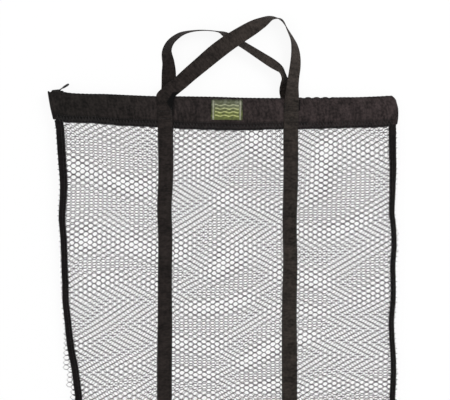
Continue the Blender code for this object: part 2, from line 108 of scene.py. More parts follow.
class Field:
    """A value in a node tree. Python's operators on it add the Math nodes."""

    def __init__(self, tree, socket):
        self.tree, self.socket = tree, socket

    def math(self, operation, *others):
        return self.tree.node("ShaderNodeMath", {"operation": operation}, [self, *others])

    def __add__(self, other):
        return self.math("ADD", other)

    __radd__ = __add__

    def __mul__(self, other):
        return self.math("MULTIPLY", other)

    __rmul__ = __mul__

    def __sub__(self, other):
        return self.math("SUBTRACT", other)

    def __rsub__(self, other):
        return self * -1 + other

    def __truediv__(self, other):
        return self.math("DIVIDE", other)

    def __abs__(self):
        return self.math("ABSOLUTE")

    def sine(self):
        return self.math("SINE")

    def floor(self):
        return self.math("FLOOR")

    def most(self, other):
        return self.math("MAXIMUM", other)

    def step(self, low, high):
        """0 below low, 1 above high, and a smooth slope between them. With low above high it falls."""
        settings = {"interpolation_type": "SMOOTHSTEP"}
        sockets = {"Value": self, "From Min": low, "From Max": high}
        return self.tree.node("ShaderNodeMapRange", settings, sockets, "Result")

    def part(self, output):
        """Another output of the same node."""
        return Field(self.tree, self.socket.node.outputs[output])


class Tree:
    """The shader nodes of one material, or of the world."""

    def __init__(self, owner):
        owner.use_nodes = True
        self.nodes, self.links = owner.node_tree.nodes, owner.node_tree.links

    def node(self, kind, settings, sockets, output=0):
        """A node with its settings made first, then its sockets, by order or by name."""
        made = self.nodes.new(kind)
        for setting, value in settings.items():
            setattr(made, setting, value)
        named = sockets.items() if isinstance(sockets, dict) else enumerate(sockets)
        for key, value in named:
            if isinstance(value, Field):
                self.links.new(value.socket, made.inputs[key])
            else:
                made.inputs[key].default_value = value
        return Field(self, made.outputs[output]) if made.outputs else made


def backdrop(owner, lit, plain, output, share):
    """Joins the shader that lights the bag with a plain white one. The camera, a glossy surface or glass sees
    that one, by that share."""
    tree = Tree(owner)
    tree.nodes.clear()
    path = seen = tree.node("ShaderNodeLightPath", {}, {}, "Is Camera Ray")
    for ray in ("Is Glossy Ray", "Is Transmission Ray"):
        seen = tree.node("ShaderNodeMath", {"operation": "ADD", "use_clamp": True}, [seen, path.part(ray)])
    shaders = [tree.node(kind, {}, sockets) for kind, sockets in (lit, plain)]
    tree.node(output, {}, [tree.node("ShaderNodeMixShader", {}, [seen * share, *shaders])])


WHITE = (1, 1, 1, 1)
SKY_LIGHT = 0.78  # the even light that the bag gets from all round
PAPER_WHITE = (0.95, 0.95, 0.95, 1)
TABLE_HALF, TABLE_LEVEL = 6.0, -0.0004
TABLE_GLOW = 0.9  # share of the table's white that a shadow doesn't reach

world = bpy.data.worlds.new("sweep")
bpy.context.scene.world = world
sky = ("ShaderNodeBackground", {"Color": WHITE, "Strength": SKY_LIGHT})
backdrop(world, sky, ("ShaderNodeBackground", {"Color": WHITE}), "ShaderNodeOutputWorld", 1.0)

paper = bpy.data.materials.new("white_paper")
matt = ("ShaderNodeBsdfDiffuse", {"Color": PAPER_WHITE})
backdrop(paper, matt, ("ShaderNodeEmission", {}), "ShaderNodeOutputMaterial", TABLE_GLOW)
sweep = bpy.data.meshes.new("table")
corners = [(x * TABLE_HALF, y * TABLE_HALF, TABLE_LEVEL) for x, y in ((-1, -1), (1, -1), (1, 1), (-1, 1))]
sweep.from_pydata(corners, [], [(0, 1, 2, 3)])
sweep.materials.append(paper)
table = new_object("table", sweep)

bpy.context.scene.view_settings.view_transform = "Standard"

# Back and front netting
# Each large panel is one piece of knitted black nylon net with hexagonal meshes in upright columns. Its edge
# runs in behind the band, into the folded side bindings and into the hem, and is sewn there.


class Finish(Tree):
    """One material: a Principled shader with fixed values on its own sockets, and what feeds the rest."""

    def __init__(self, name, colour, roughness, **fixed):
        self.material = bpy.data.materials.new(name)
        super().__init__(self.material)
        self.shader = self.nodes["Principled BSDF"]
        self.shader.inputs["Base Color"].default_value = (*colour, 1)
        self.shader.inputs["Roughness"].default_value = roughness
        for socket, value in fixed.items():
            self.shader.inputs[socket.replace("_", " ")].default_value = value

    def feed(self, socket, field):
        self.links.new(field.socket, self.shader.inputs[socket])

    def stored(self, attribute):
        return self.node("ShaderNodeAttribute", {"attribute_name": attribute}, {}, "Vector")

    def weave(self):
        """Distance along and across a strip, in millimetres."""
        apart = self.node("ShaderNodeSeparateXYZ", {}, [self.stored("weave")], "X")
        return apart, apart.part("Y")

    def spread(self):
        """Place on the bag in millimetres from the middle of the mouth, to the right and up the picture."""
        apart = self.node("ShaderNodeSeparateXYZ", {}, [self.stored("rest")], "X")
        return apart * (1 / MM), (apart.part("Y") - MOUTH) * (1 / MM)

    def noise(self, size, detail=3.0, spot=None):
        """Uneven value of about that size in metres, over the piece at rest."""
        vector = spot or self.stored("rest")
        sockets = {"Vector": vector, "Scale": 1 / size, "Detail": detail}
        return self.node("ShaderNodeTexNoise", {}, sockets, "Fac")

    def patches(self, u, v, size, seed=0.0, detail=2.0):
        """Uneven value over two distances, with patches of size (along u, along v)."""
        spot = self.node("ShaderNodeCombineXYZ", {}, [u / size[0], v / size[1], seed])
        return self.noise(1.0, detail, spot)

    def colour(self, share, low, high):
        """From the colour low to the colour high, by a share from 0 to 1."""
        low, high = ((*end, 1) if isinstance(end, tuple) else end for end in (low, high))
        return self.node("ShaderNodeMix", {"data_type": "RGBA"}, {0: share, 6: low, 7: high}, 2)

    def raise_by(self, height, depth):
        """Bump of that depth in metres, where the height goes from 0 to 1."""
        sockets = {"Height": height, "Distance": depth, "Strength": 1.0}
        self.feed("Normal", self.node("ShaderNodeBump", {}, sockets))


def piece_of(name, points, faces, material=None, sharp=None):
    """A smooth-shaded piece, which stores where its points are at rest, so that its noise moves with it."""
    mesh = bpy.data.meshes.new(name)
    mesh.from_pydata(points, [], faces)
    spots = np.zeros(len(mesh.vertices) * 3, np.float32)
    mesh.vertices.foreach_get("co", spots)
    mesh.attributes.new("rest", "FLOAT_VECTOR", "POINT").data.foreach_set("vector", spots)
    mesh.shade_smooth()
    if sharp:
        mesh.set_sharp_from_angle(angle=radians(sharp))
    if material:
        mesh.materials.append(material)
    return new_object(name, mesh)


def curve_through(points):
    """A smooth function through (place, value) points."""
    at, value = (np.array(column, float) for column in zip(*sorted(points)))
    slope = np.gradient(value, at)

    def curve(x):
        x = np.clip(x, at[0], at[-1])
        i = np.clip(np.searchsorted(at, x, side="right") - 1, 0, len(at) - 2)
        width = at[i + 1] - at[i]
        t = (x - at[i]) / width
        rise = value[i] * (1 + 2 * t) * (1 - t) ** 2 + value[i + 1] * t * t * (3 - 2 * t)
        return rise + width * (slope[i] * t * (1 - t) ** 2 - slope[i + 1] * t * t * (1 - t))

    return curve


SIDES = {  # middle lines of the two side bindings, as (y, x)
    "left": curve_through(
        [(-50, -284.2), (-65, -281.7), (-113, -278.1), (-160, -274.2), (-208, -276.6), (-256, -273.3),
         (-304, -270.8), (-352, -268.8), (-400, -263.8), (-424, -260.8), (-448, -256.8), (-473, -251.8),
         (-505, -246.5), (-540, -243.5), (-600, -240.0)]
    ),
    "right": curve_through(
        [(-50, 287.4), (-105, 288.9), (-153, 289.5), (-201, 288.8), (-225, 292), (-297, 291.9), (-345, 293),
         (-393, 290.5), (-440, 294.2), (-466, 295.2), (-540, 293.5), (-600, 292.0)]
    ),
}
SIDE_WIDTHS = {  # as (y, width)
    "left": curve_through([(-50, 12.4), (-150, 11.4), (-210, 9.8), (-330, 9.6), (-450, 11.0), (-600, 11)]),
    "right": curve_through([(-50, 10.6), (-120, 9.8), (-190, 7.8), (-300, 7.4), (-440, 8.0), (-600, 9)]),
}
mouth_slack = curve_through(
    [(-303, 1.0), (-279, 0.4), (-265, -1.5), (-238, -2.7), (-207, -2.7), (-166, -4.0), (-128, -5.1),
     (-70, -5.0), (-18, -5.1), (33, -6.0), (84, -5.8), (139, -4.6), (180, -3.7), (200, -2.9), (221, -2.6),
     (250, -1.2), (268, -0.2), (280, 0.6), (286, 0.3), (290, -1.8), (294, -3.4), (298, -4.4)]
)
band_sag = curve_through(
    [(-290, -46.8), (-265, -49.0), (-224, -49.6), (-186, -52.7), (-128, -54.7), (-70, -57.4), (-18, -58.7),
     (33, -58.7), (84, -56.2), (159, -54.3), (221, -51.4), (262, -49.9), (293, -47.6)]
)
GATHER_MIDDLE = 156.0  # by the right strap, where the zip draws the band into lumps
LUMP_PITCH, LUMP_MIDDLE = 14.6, 141.5
SLIDER_HUMP = (-287.8, 8.4, 2.6)  # middle, half width, and height
END_NICK = (-297.8, 1.3, -2.6)


def mouth_line(x):
    """Height of the band's top edge: its slack, with the lumps where the zip gathers it, the rise over the
    slider and the nick beside that."""
    (hump_at, hump_half, hump), (nick_at, nick_half, nick) = SLIDER_HUMP, END_NICK
    gathers = np.exp(-(((x - GATHER_MIDDLE) / 30) ** 8))
    lump = 1.0 - 3.0 * (1 - np.abs(np.cos(np.pi * (x - LUMP_MIDDLE) / LUMP_PITCH))) ** 1.6
    over_slider = hump * np.sqrt(np.maximum(1 - ((x - hump_at) / hump_half) ** 2, 0))
    at_end = nick * np.exp(-(((x - nick_at) / nick_half) ** 2))
    ripple = 0.22 * (1 - gathers) * np.sin(x * 0.87 + 1.4 * np.sin(x / 31))
    return mouth_slack(x) + gathers * lump + ripple + over_slider + at_end


def band_foot(x):
    """Height of the band webbing's lower edge."""
    return band_sag(x) + 0.3 * np.sin(x / 5.3 + np.sin(x / 37))


NET_THICK = 1.2
NET_SAG = {"back_net": 0.3, "front_net": 1.8}
NET_RIPPLE = {"back_net": 0, "front_net": 1}


def box_of(node):
    """The lowest and highest corners of a node in the frame, in millimetres."""
    return (np.array(corner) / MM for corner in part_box(node))


def net_level(name):
    """Height of a net's middle at a point: its plane in the frame, with the slack between its seams."""
    low, high = box_of(name)
    foot = low[2] + NET_THICK / 2
    rise = (high[2] - low[2] - NET_THICK) / (high[1] - low[1])
    y_foot = low[1] - MOUTH / MM

    def level(x, y):
        down = np.clip((-y - 45) / 540, 0, 1)
        across = np.clip((x + 280) / 570, 0, 1)
        slack = np.sin(np.pi * down) * np.sin(np.pi * across)
        ripple = 0.5 * np.sin(x / 23 + y / 61) * np.sin(y / 37 - x / 90)
        return foot + rise * (y - y_foot) - NET_SAG[name] * slack + (ripple + 0.3) * slack * NET_RIPPLE[name]

    return level


def pulled(x, y, stretch, wave):
    """Where the sewing pulls a point of the net. Its rows follow the slack band, and its meshes open
    unevenly."""
    hang = (band_sag(x) + 47.5) * np.exp((y + 50) / 150)
    narrow, wide, taller, open_top = stretch
    across = x + wide * x * x / 1e5 + narrow * np.sin(x / 100) + 1.3 * np.sin(y / 38 + x / 90 + wave)
    across += 0.7 * np.sin(x / 21 - y / 53 + 2 * wave)
    up = y * (1 - taller * x / 1e5) + open_top * (y + 261) ** 2 / 1e5 + hang
    up += 1.4 * np.sin(x / 41 + y / 77 + wave) + 0.9 * np.sin(y / 26 + x / 110 + wave)
    return across, up


NET_TOP, NET_FOOT = -44.5, -593.0  # where the net ends behind the band and in the hem
NET_BEHIND = 9.0  # how far it reaches up behind the band's lower edge, where that hangs lower
FRINGE = curve_through([(-395, -264), (-420, -267), (-445, -268.5), (-473, -268), (-500, -262), (-530, -252)])
FRINGE_LEVEL, FRINGE_TOP, FRINGE_FOOT = 1.1, -392, -528  # the loose meshes outside the left binding
BAR_SHARE = 0.26  # half a bar's length, as a share of a column


def netting(name, material, column, pitch, wide_bar, wide_leg, lean, stretch, seed):
    """Knitted six-sided meshes. Each strand is a ridge that runs on into its neighbours, thicker on the bars.
    Corners are counted in three steps to a column and four to a pitch, so that neighbours share them."""
    level = net_level(name)
    rng = np.random.default_rng(seed)
    columns, rows = np.meshgrid(np.arange(-41, 43), np.arange(0, 72), indexing="ij")
    middle_key = np.stack([3 * columns.ravel(), -(4 * rows.ravel() + 2 * (columns.ravel() % 2))], axis=1)

    def at(keys):
        share = np.array([0, BAR_SHARE, 1 - BAR_SHARE])[keys[..., 0] % 3]
        x, y = (keys[..., 0] // 3 + share) * column, keys[..., 1] * pitch / 4 - 20
        return pulled(x + lean * (y + 300), y, stretch, seed)

    x, y = at(middle_key)
    inside = (x > SIDES["left"](y) - 1.5) & (x < SIDES["right"](y) + 1.5) & (y > NET_FOOT)
    inside &= y < np.minimum(NET_TOP, band_foot(x) + NET_BEHIND)
    loose = (x > FRINGE(y)) & (x < SIDES["left"](y) + 1) & (y < FRINGE_TOP) & (y > FRINGE_FOOT)
    loose &= name == "back_net"
    reach = np.array([(2, 0), (1, 2), (-1, 2), (-2, 0), (-1, -2), (1, -2)])
    corner_key = np.concatenate([middle_key[inside], middle_key[loose]])[:, None] + reach
    tag = np.concatenate([np.zeros(inside.sum(), int), np.ones(loose.sum(), int)])
    corner_key = np.concatenate([corner_key, np.broadcast_to(tag[:, None, None], (len(tag), 6, 1))], axis=2)
    found, index = np.unique(corner_key.reshape(-1, 3), axis=0, return_inverse=True)
    index = index.reshape(-1, 6)
    spot = np.stack(at(found), axis=1) + rng.normal(0, 0.16, (len(found), 2))
    is_loose = found[:, 2] == 1
    corner = spot[index]
    ahead = np.roll(corner, -1, axis=1) - corner
    along = ahead / np.linalg.norm(ahead, axis=2, keepdims=True)
    inward = np.stack([-along[..., 1], along[..., 0]], axis=2)
    is_bar = np.array([0, 1, 0, 0, 1, 0], bool)
    half = np.where(is_bar, wide_bar, wide_leg) / 2 * (1 + rng.normal(0, 0.06, index.shape))
    before, before_half = np.roll(inward, 1, axis=1), np.roll(half, 1, axis=1)
    cross = before[..., 0] * inward[..., 1] - before[..., 1] * inward[..., 0]
    inner_x = (before_half * inward[..., 1] - half * before[..., 1]) / cross
    inner_y = (before[..., 0] * half - inward[..., 0] * before_half) / cross
    hole = (corner + np.stack([inner_x, inner_y], axis=2)).reshape(-1, 2)
    count = len(spot)
    z = np.where(is_loose, FRINGE_LEVEL, level(spot[:, 0], spot[:, 1]))
    hole_z = np.where(np.repeat(tag, 6) == 1, FRINGE_LEVEL, level(hole[:, 0], hole[:, 1]))
    ridge, groove = np.c_[spot, z + NET_THICK / 2], np.c_[spot, z - NET_THICK / 2]
    points = np.concatenate([ridge, groove, np.c_[hole, hole_z]]) * MM + (0, MOUTH, 0)
    upper, upper_next = index, np.roll(index, -1, axis=1)
    own = 2 * count + np.arange(index.size).reshape(-1, 6)
    own_next = np.roll(own, -1, axis=1)
    tops = np.stack([upper, upper_next, own_next, own], axis=2).reshape(-1, 4)
    feet = np.stack([upper_next + count, upper + count, own, own_next], axis=2).reshape(-1, 4)
    ends = np.stack([upper.ravel(), upper_next.ravel()], axis=1)
    _, first, uses = np.unique(np.sort(ends, axis=1), axis=0, return_index=True, return_counts=True)
    rim = ends[first[uses == 1]]
    rims = np.stack([rim[:, 1], rim[:, 0], rim[:, 0] + count, rim[:, 1] + count], axis=1)
    return piece_of(f"{name}_meshes", points.tolist(), np.concatenate([tops, feet, rims]).tolist(), material)


def toned(colour, times):
    """A lighter or darker tone of a colour."""
    return tuple(times * value for value in colour)


def net_finish(name, colour):
    """Twisted black yarn: dull, a little lighter where the knots are worn and the fibres catch the light."""
    finish = Finish(name, colour, 0.75, Sheen_Weight=0.03, Specular_IOR_Level=0.15)
    patch = finish.noise(0.07).step(0.35, 0.7)
    fibre = finish.noise(0.0005, 2.0)
    share = patch * 0.4 + fibre * 0.6
    finish.feed("Base Color", finish.colour(share, toned(colour, 0.6), toned(colour, 1.5)))
    finish.feed("Roughness", fibre * 0.25 + 0.65)
    finish.raise_by(fibre, 0.00012)
    return finish.material


YARN_COLOUR = (0.088, 0.073, 0.080)
NETS = {  # column, pitch, width of the bars, width of the legs, lean, stretch, seed
    "back_net": (7.68, 8.82, 1.56, 0.93, 0.004, (-3.0, 0.0, 11.0, 14.3), 3),
    "front_net": (7.87, 9.79, 1.56, 0.93, -0.010, (0.0, 5.0, 8.5, 0.0), 8),
}
for name, sizes in NETS.items():
    net = netting(name, net_finish(f"{name}_yarn", YARN_COLOUR), *sizes)
    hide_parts(name)
    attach(net, "bag")

# Side bindings and bottom hem
# The nets' edges are held in black webbing, folded over both of them lengthwise and sewn through. The side
# bindings run from the band to the hem, which closes the bottom in the same way.

FOLD_ROUND = 4.0  # radius of the soft outer fold
BAG_HALF = 300.0
# Near black towards which painted shade darkens a colour.
PAINTED_SHADE_BLACK = (0.0006, 0.0005, 0.0005)


def evenly(start, end, steps):
    """Places from start to end, both of them included."""
    return [start + (end - start) * step / steps for step in range(steps + 1)]


def strip(name, rings, along, material=None):
    """A body through rings of points that all have as many. along is each ring's distance from the first."""
    rings = np.array(rings, float)
    count, size = rings.shape[:2]
    i, j = np.meshgrid(np.arange(count - 1), np.arange(size), indexing="ij")
    a, b = i * size + j, i * size + (j + 1) % size
    faces = np.stack([a, b, b + size, a + size], axis=2).reshape(-1, 4).tolist()
    faces += [list(range(size))[::-1], [(count - 1) * size + k for k in range(size)]]
    made = piece_of(name, rings.reshape(-1, 3).tolist(), faces, material, sharp=60)
    around = np.linalg.norm(np.diff(rings[count // 2], axis=0, append=rings[count // 2][:1]), axis=1)
    values = np.zeros((count, size, 3))
    values[..., 0] = np.array(along)[:, None] / MM
    values[..., 1] = np.concatenate([[0], np.cumsum(around)[:-1]]) / MM
    made.data.attributes.new("weave", "FLOAT_VECTOR", "POINT").data.foreach_set("vector", values.ravel())
    return made


def webbing_finish(
    name, left, right, slub=(3.4, 5.5), pitch=1.25, float_length=2.6, painted_shade=None, full_at=BAG_HALF
):
    """Woven polypropylene: warp ribs crossed by slanting floats, uneven where the yarn is thick or thin.
    Its colour changes from the bag's left end to full_at, lighter and warmer partly as its own tone and
    partly as painted light.
    The mask argument gives where a fold's painted shade lies."""
    finish = Finish(name, left, 0.85, Sheen_Weight=0.02, Specular_IOR_Level=0.12)
    along, across = finish.weave()
    x, y = finish.spread()
    rib = (across * (pi / pitch)).sine()
    lean = (across / pitch).floor() * 0.5
    turn = ((along / float_length + lean) * (2 * pi)).sine() * 0.5 + 0.5
    crown = abs(rib) * (turn * 0.55 + 0.45)
    thick_yarn = finish.patches(along, across, slub).step(0.4, 0.6)
    streak = finish.patches(along, across, (4.5, 22.0), 3.7).step(0.4, 0.6)
    dust = finish.noise(0.022).step(0.38, 0.62)
    fuzz = finish.noise(0.0007, 2.0)
    # From left to right the colour grows lighter and warmer: partly the webbing's own tone, partly painted
    # light from the right.
    side = x.step(-BAG_HALF, full_at)
    low, high = (finish.colour(side, toned(left, times), toned(right, times)) for times in (0.06, 2.1))
    share = crown * 0.16 + thick_yarn * 0.28 + streak * 0.24 + dust * 0.22 + fuzz * 0.1
    # Painted light: up the handles, the right-hand webbing is painted lighter, where it faces the key lamp.
    handle_painted_light = y.step(-20, 50) * side * 0.24
    cloth = finish.colour(share + handle_painted_light, low, high)
    # Painted shade: the mask darkens the cloth towards near black where a fold or edge shades it.
    if painted_shade:
        cloth = finish.colour(painted_shade(x, y, across), cloth, PAINTED_SHADE_BLACK)
    finish.feed("Base Color", cloth)
    finish.feed("Roughness", 0.95 - crown * 0.2)
    finish.raise_by(crown + thick_yarn * 0.5 + fuzz * 0.2, 0.00028)
    return finish.material


def fold_outline(edge, side, low, high, width, thick):
    """Section of a folded strip: up the outer wall and back over itself. Points are (x, z)."""
    outer, inner = [], []
    round_out = min(FOLD_ROUND, (high - low) / 2)
    round_in = max(round_out - thick, 0.2)
    for k in range(7):
        turn = radians(15 * k)
        out, up = 1 - sin(turn), 1 - cos(turn)
        outer.append((edge - side * round_out * out, low + round_out * up))
        inner.append((edge - side * (thick + round_in * out), low + thick + round_in * up))
    outer += [(x, low + high - z) for x, z in reversed(outer)]
    inner += [(x, low + high - z) for x, z in reversed(inner)]
    lip = edge - side * width
    ends = []
    for k in (1, 2, 3):
        turn = pi * k / 4
        ends.append((lip - side * thick * 0.3 * sin(turn), thick / 2 * (1 + cos(turn))))
    bridges = [(lip + side * width * share, share) for share in (0.0, 0.3)]
    section = [(x, low) for x, _ in bridges] + outer + [(x, high) for x, _ in reversed(bridges)]
    section += [(x, high - thick + rise) for x, rise in ends] + [(x, high - thick) for x, _ in bridges]
    section += list(reversed(inner)) + [(x, low + thick) for x, _ in reversed(bridges)]
    return section + [(x, low + rise) for x, rise in ends]


def thread_finish(name, dark, light):
    """Twisted polyester thread with a faint shine on its turns."""
    finish = Finish(name, dark, 0.55, Sheen_Weight=0.04, Specular_IOR_Level=0.3)
    twist = finish.noise(0.0004, 1.0).step(0.3, 0.7)
    worn = finish.noise(0.009).step(0.35, 0.65)
    finish.feed("Roughness", twist * 0.3 + 0.45)
    finish.feed("Base Color", finish.colour(twist * 0.5 + worn * 0.5, dark, light))
    return finish.material


black_thread = thread_finish("black_thread", (0.005, 0.005, 0.005), (0.022, 0.021, 0.021))
UP = Vector((0, 0, 1))
THREAD = 0.00028
STITCH_PITCH, STITCH_LENGTH = 0.0038, 0.0030


def sew(name, seats, radius=THREAD):
    """Short rounded bars of thread. Each seat is (start, end, up)."""
    points, faces = [], []
    for start, end, up in seats:
        along = (end - start).normalized()
        side = along.cross(up).normalized()
        lift = side.cross(along)
        base = len(points)
        points.append(start)
        for share, wide in ((0.16, 0.8), (0.5, 1.0), (0.84, 0.8)):
            middle = start.lerp(end, share)
            for k in range(5):
                turn = 2 * pi * k / 5
                points.append(middle + (side * cos(turn) + lift * sin(turn) * 0.8) * radius * wide)
        points.append(end)
        last = base + 16
        for k in range(5):
            n = (k + 1) % 5
            faces.append((base, base + 1 + k, base + 1 + n))
            for ring in (1, 6):
                faces.append((base + ring + k, base + ring + 5 + k, base + ring + 5 + n, base + ring + n))
            faces.append((base + 11 + k, last, base + 11 + n))
    stitches = piece_of(name, points, faces, black_thread)
    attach(stitches, "bag")


def seats_on(line, up, pitch=STITCH_PITCH, length=STITCH_LENGTH):
    """Stitches of one length at an even pitch on a line of points."""
    reach = [0.0]
    for a, b in zip(line, line[1:]):
        reach.append(reach[-1] + (b - a).length)

    def spot(at):
        i = min(max(int(np.searchsorted(reach, at)) - 1, 0), len(line) - 2)
        return line[i].lerp(line[i + 1], (at - reach[i]) / max(reach[i + 1] - reach[i], 1e-9))

    starts = [k * pitch for k in range(int(reach[-1] / pitch))]
    return [(spot(at + (pitch - length) / 2), spot(at + (pitch + length) / 2), up) for at in starts]


BINDING_THICK, HEM_THICK = 1.6, 1.8
NET_GAP = 0.3  # between a net and the cloth sewn over it
SEAM_INSET = 2.4  # of the stitches, from the fold's lips
BINDING_TONES = (0.0045, 0.0032, 0.0034), (0.005, 0.004, 0.004)
binding_black = webbing_finish("binding_webbing", *BINDING_TONES, (3.0, 4.0), 1.1, 2.2)
front_level, back_level = net_level("front_net"), net_level("back_net")


def net_outside(x, y):
    """Heights of a fold's two outer faces where it holds the nets."""
    low = back_level(x, y) - NET_THICK / 2 - NET_GAP - BINDING_THICK
    return low, front_level(x, y) + NET_THICK / 2 + NET_GAP + BINDING_THICK


SIDE_TOP, SIDE_FOOT, SIDE_STEPS = -48.5, -585.7, 360
STRAND_PITCH, STRAND = 4.4, 0.0008  # cut ends of the nets' strands, which stand out past both edges
STRAND_MARGIN = 14  # length of the fold that has none
STRAND_ROOT, STRAND_OUT, STRAND_IN = 1.6, 2.6, 5.0  # lengths within the fold and out of its two edges
for side_name, side in (("left", -1), ("right", 1)):
    middle_line, width_at = SIDES[side_name], SIDE_WIDTHS[side_name]
    rings, along, seam = [], [], {"front": [], "back": []}
    for y in evenly(SIDE_TOP, SIDE_FOOT, SIDE_STEPS):
        bite = 0.5 * sin(y * 2 * pi / 9.1 + side) + 0.25 * sin(y / 0.83)
        pucker = 0.35 * sin(y / 3.1) * sin(y / 17 + side) + 0.25 * sin(y / 7.3)
        wide = width_at(y) + 0.5 * bite
        edge = middle_line(y) + side * (wide / 2 + 0.4 * pucker + 0.2 * sin(y / 0.9))
        edge += 0.25 * sin(y / 11)
        low, high = net_outside(edge, y)
        low, high = low - 0.15 * pucker, high + 0.3 * pucker
        rings.append([place(u, y, z) for u, z in fold_outline(edge, side, low, high, wide, BINDING_THICK)])
        along.append(-(y - SIDE_TOP) * MM)
        for face, z in (("front", high + 0.1), ("back", low - 0.1)):
            seam[face].append(place(edge - side * (wide - SEAM_INSET), y, z))
    fold = strip(f"{side_name}_side_fold", rings, along, binding_black)
    if side < 0:
        fold.data.flip_normals()
    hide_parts(f"{side_name}_side_binding")
    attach(fold, "bag")
    sew(f"{side_name}_side_stitches", seats_on(seam["front"], UP) + seats_on(seam["back"], -UP))
    seats = []
    rng = random.Random(f"{side_name} cut strands")
    for k in range(int((SIDE_TOP - SIDE_FOOT - STRAND_MARGIN) / STRAND_PITCH)):
        y = SIDE_TOP - 8.7 - STRAND_PITCH * k + rng.uniform(-0.5, 0.5)
        wide = width_at(y)
        edge = middle_line(y) + side * wide / 2
        share = rng.uniform(0.8, 1.2) if k % 2 else rng.uniform(0.2, 0.6)
        on_net = (front_level if k % 4 else back_level)(edge, y)
        outside = (edge, side, STRAND_OUT, sum(net_outside(edge, y)) / 2)
        for root, out, reach, z in (outside, (edge - side * wide, -side, STRAND_IN, on_net)):
            end = place(root + out * reach * share, y + rng.uniform(-0.8, 0.8), z)
            seats.append((place(root - out * STRAND_ROOT, y, z), end, UP))
    sew(f"{side_name}_cut_strands", seats, STRAND)

HEM_TOP, HEM_FOOT, HEM_STEPS = -586.0, -600.0, 160
HEM_PAST = 5.5  # how far the hem reaches past the side bindings' middles
hem_start, hem_end = SIDES["left"](HEM_FOOT) - HEM_PAST, SIDES["right"](HEM_FOOT) + HEM_PAST
hem_low, hem_high = (corner[2] for corner in box_of("bottom_hem"))
rings, along, seam = [], [], {"front": [], "back": []}
for x in evenly(hem_start, hem_end, HEM_STEPS):
    pucker = 0.3 * sin(x / 3.3) * sin(x / 19) + 0.2 * sin(x / 8.1)
    edge = -HEM_FOOT - 0.3 + 0.3 * pucker
    section = fold_outline(edge, 1, hem_low, hem_high, HEM_TOP - HEM_FOOT, HEM_THICK)
    rings.append([place(x, -down, z) for down, z in section])
    along.append((x - hem_start) * MM)
    for face, z in (("front", hem_high + 0.1), ("back", hem_low - 0.1)):
        seam[face].append(place(x, HEM_TOP - SEAM_INSET, z))
hem = strip("hem_fold", rings, along, binding_black)
hem.data.flip_normals()
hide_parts("bottom_hem")
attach(hem, "bag")
sew("hem_stitches", seats_on(seam["front"], UP) + seats_on(seam["back"], -UP))

# Zip
# Two black woven tapes are sewn inside the band, and each carries a row of moulded teeth on its edge. The
# enamelled slider straddles both rows at the left end, with its puller swung out over the band.

ROW_START, ROW_END = -286.0, 282.5
ROW_DROP = -1.3  # height of the rows from the mouth's edge
TAPE_START, TAPE_END, TAPE_STEPS = -289.5, 286.0, 240
TAPE_SECTION = [  # (up from the row's upper side, out from the band's wall), with the cord along the edge
    (-17.3, 0), (-17.5, 0.4), (-17.3, 0.8), (-3.0, 0.8), (-2.2, 1.5), (-1.9, 2.0), (-1.3, 2.2), (-0.7, 2.0),
    (-0.4, 1.5), (-0.5, 0.6), (-1.0, 0),
]
TOOTH_PITCH = 2.54
TOOTH = (1.5, 2.9, 2.0)  # length along the row, height, reach across the slot
TOOTH_FOOT = 1.2  # from the band's wall
TOOTH_RINGS = ((0.0, 0.9, 0.9), (0.12, 1.0, 1.0), (0.5, 0.62, 0.9), (0.78, 0.8, 0.8), (0.95, 0.62, 0.62))
TOOTH_CORNERS = ((-1, -0.6), (-0.6, -1), (0.6, -1), (1, -0.6), (1, 0.6), (0.6, 1), (-0.6, 1), (-1, 0.6))


def tooth_line(x):
    """Height of the rows' upper side. At the left end it stays low enough for the slider."""
    return min(mouth_slack(x), 0.2)


tape_black = Finish("zip_tape", (0.008, 0.008, 0.008), 0.85, Sheen_Weight=0.04, Specular_IOR_Level=0.25)
along, across = tape_black.weave()
ridge = (across * 6.0).sine() * 0.5 + 0.5
cord_turn = (along * 4.2 + across * 2.0).sine() * 0.5 + 0.5
tape_tone = tape_black.colour(ridge * cord_turn, (0.005, 0.005, 0.005), (0.018, 0.018, 0.019))
tape_black.feed("Base Color", tape_tone)
tape_black.raise_by(ridge * 0.5 + cord_turn * 0.5, 0.00012)
tooth_black = Finish("tooth_resin", (0.02, 0.02, 0.021), 0.38, Specular_IOR_Level=0.4)
grain = tooth_black.noise(0.0011)
tooth_black.feed("Roughness", grain * 0.25 + 0.28)
tooth_black.feed("Base Color", tooth_black.colour(grain, (0.010, 0.010, 0.011), (0.024, 0.024, 0.025)))

for face, sign in (("back", 1), ("front", -1)):
    order = -sign  # the order of points that makes a face look outward
    low, high = box_of(f"{face}_zip_half")
    wall = low[2] if face == "back" else high[2]
    points, faces = [], []
    for k in range(int((ROW_END - ROW_START) / TOOTH_PITCH)):
        x = ROW_START + TOOTH_PITCH * (k + 0.5 * (face == "front"))
        y = tooth_line(x) + ROW_DROP
        base = len(points)
        for reach, wide, tall in TOOTH_RINGS:
            z = wall + sign * TOOTH_FOOT + sign * reach * TOOTH[2]
            for u, v in TOOTH_CORNERS:
                points.append(place(x + u * wide * TOOTH[0] / 2, y + v * tall * TOOTH[1] / 2, z))
        for first in range(base, base + 32, 8):
            for j in range(8):
                n = (j + 1) % 8
                faces.append((first + j, first + n, first + 8 + n, first + 8 + j)[::-order])
        faces += [tuple(range(base, base + 8))[::order], tuple(range(base + 32, base + 40))[::-order]]
    teeth = piece_of(f"{face}_zip_teeth", points, faces, tooth_black.material, sharp=50)
    rings, along = [], []
    for x in evenly(TAPE_START, TAPE_END, TAPE_STEPS):
        y = tooth_line(x)
        rings.append([place(x, y + up, wall + sign * out) for up, out in TAPE_SECTION[::order]])
        along.append((x - TAPE_START) * MM)
    tape = strip(f"{face}_zip_tape", rings, along, tape_black.material)
    for piece in (teeth, tape):
        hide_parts(f"{face}_zip_half")
        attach(piece, "bag")

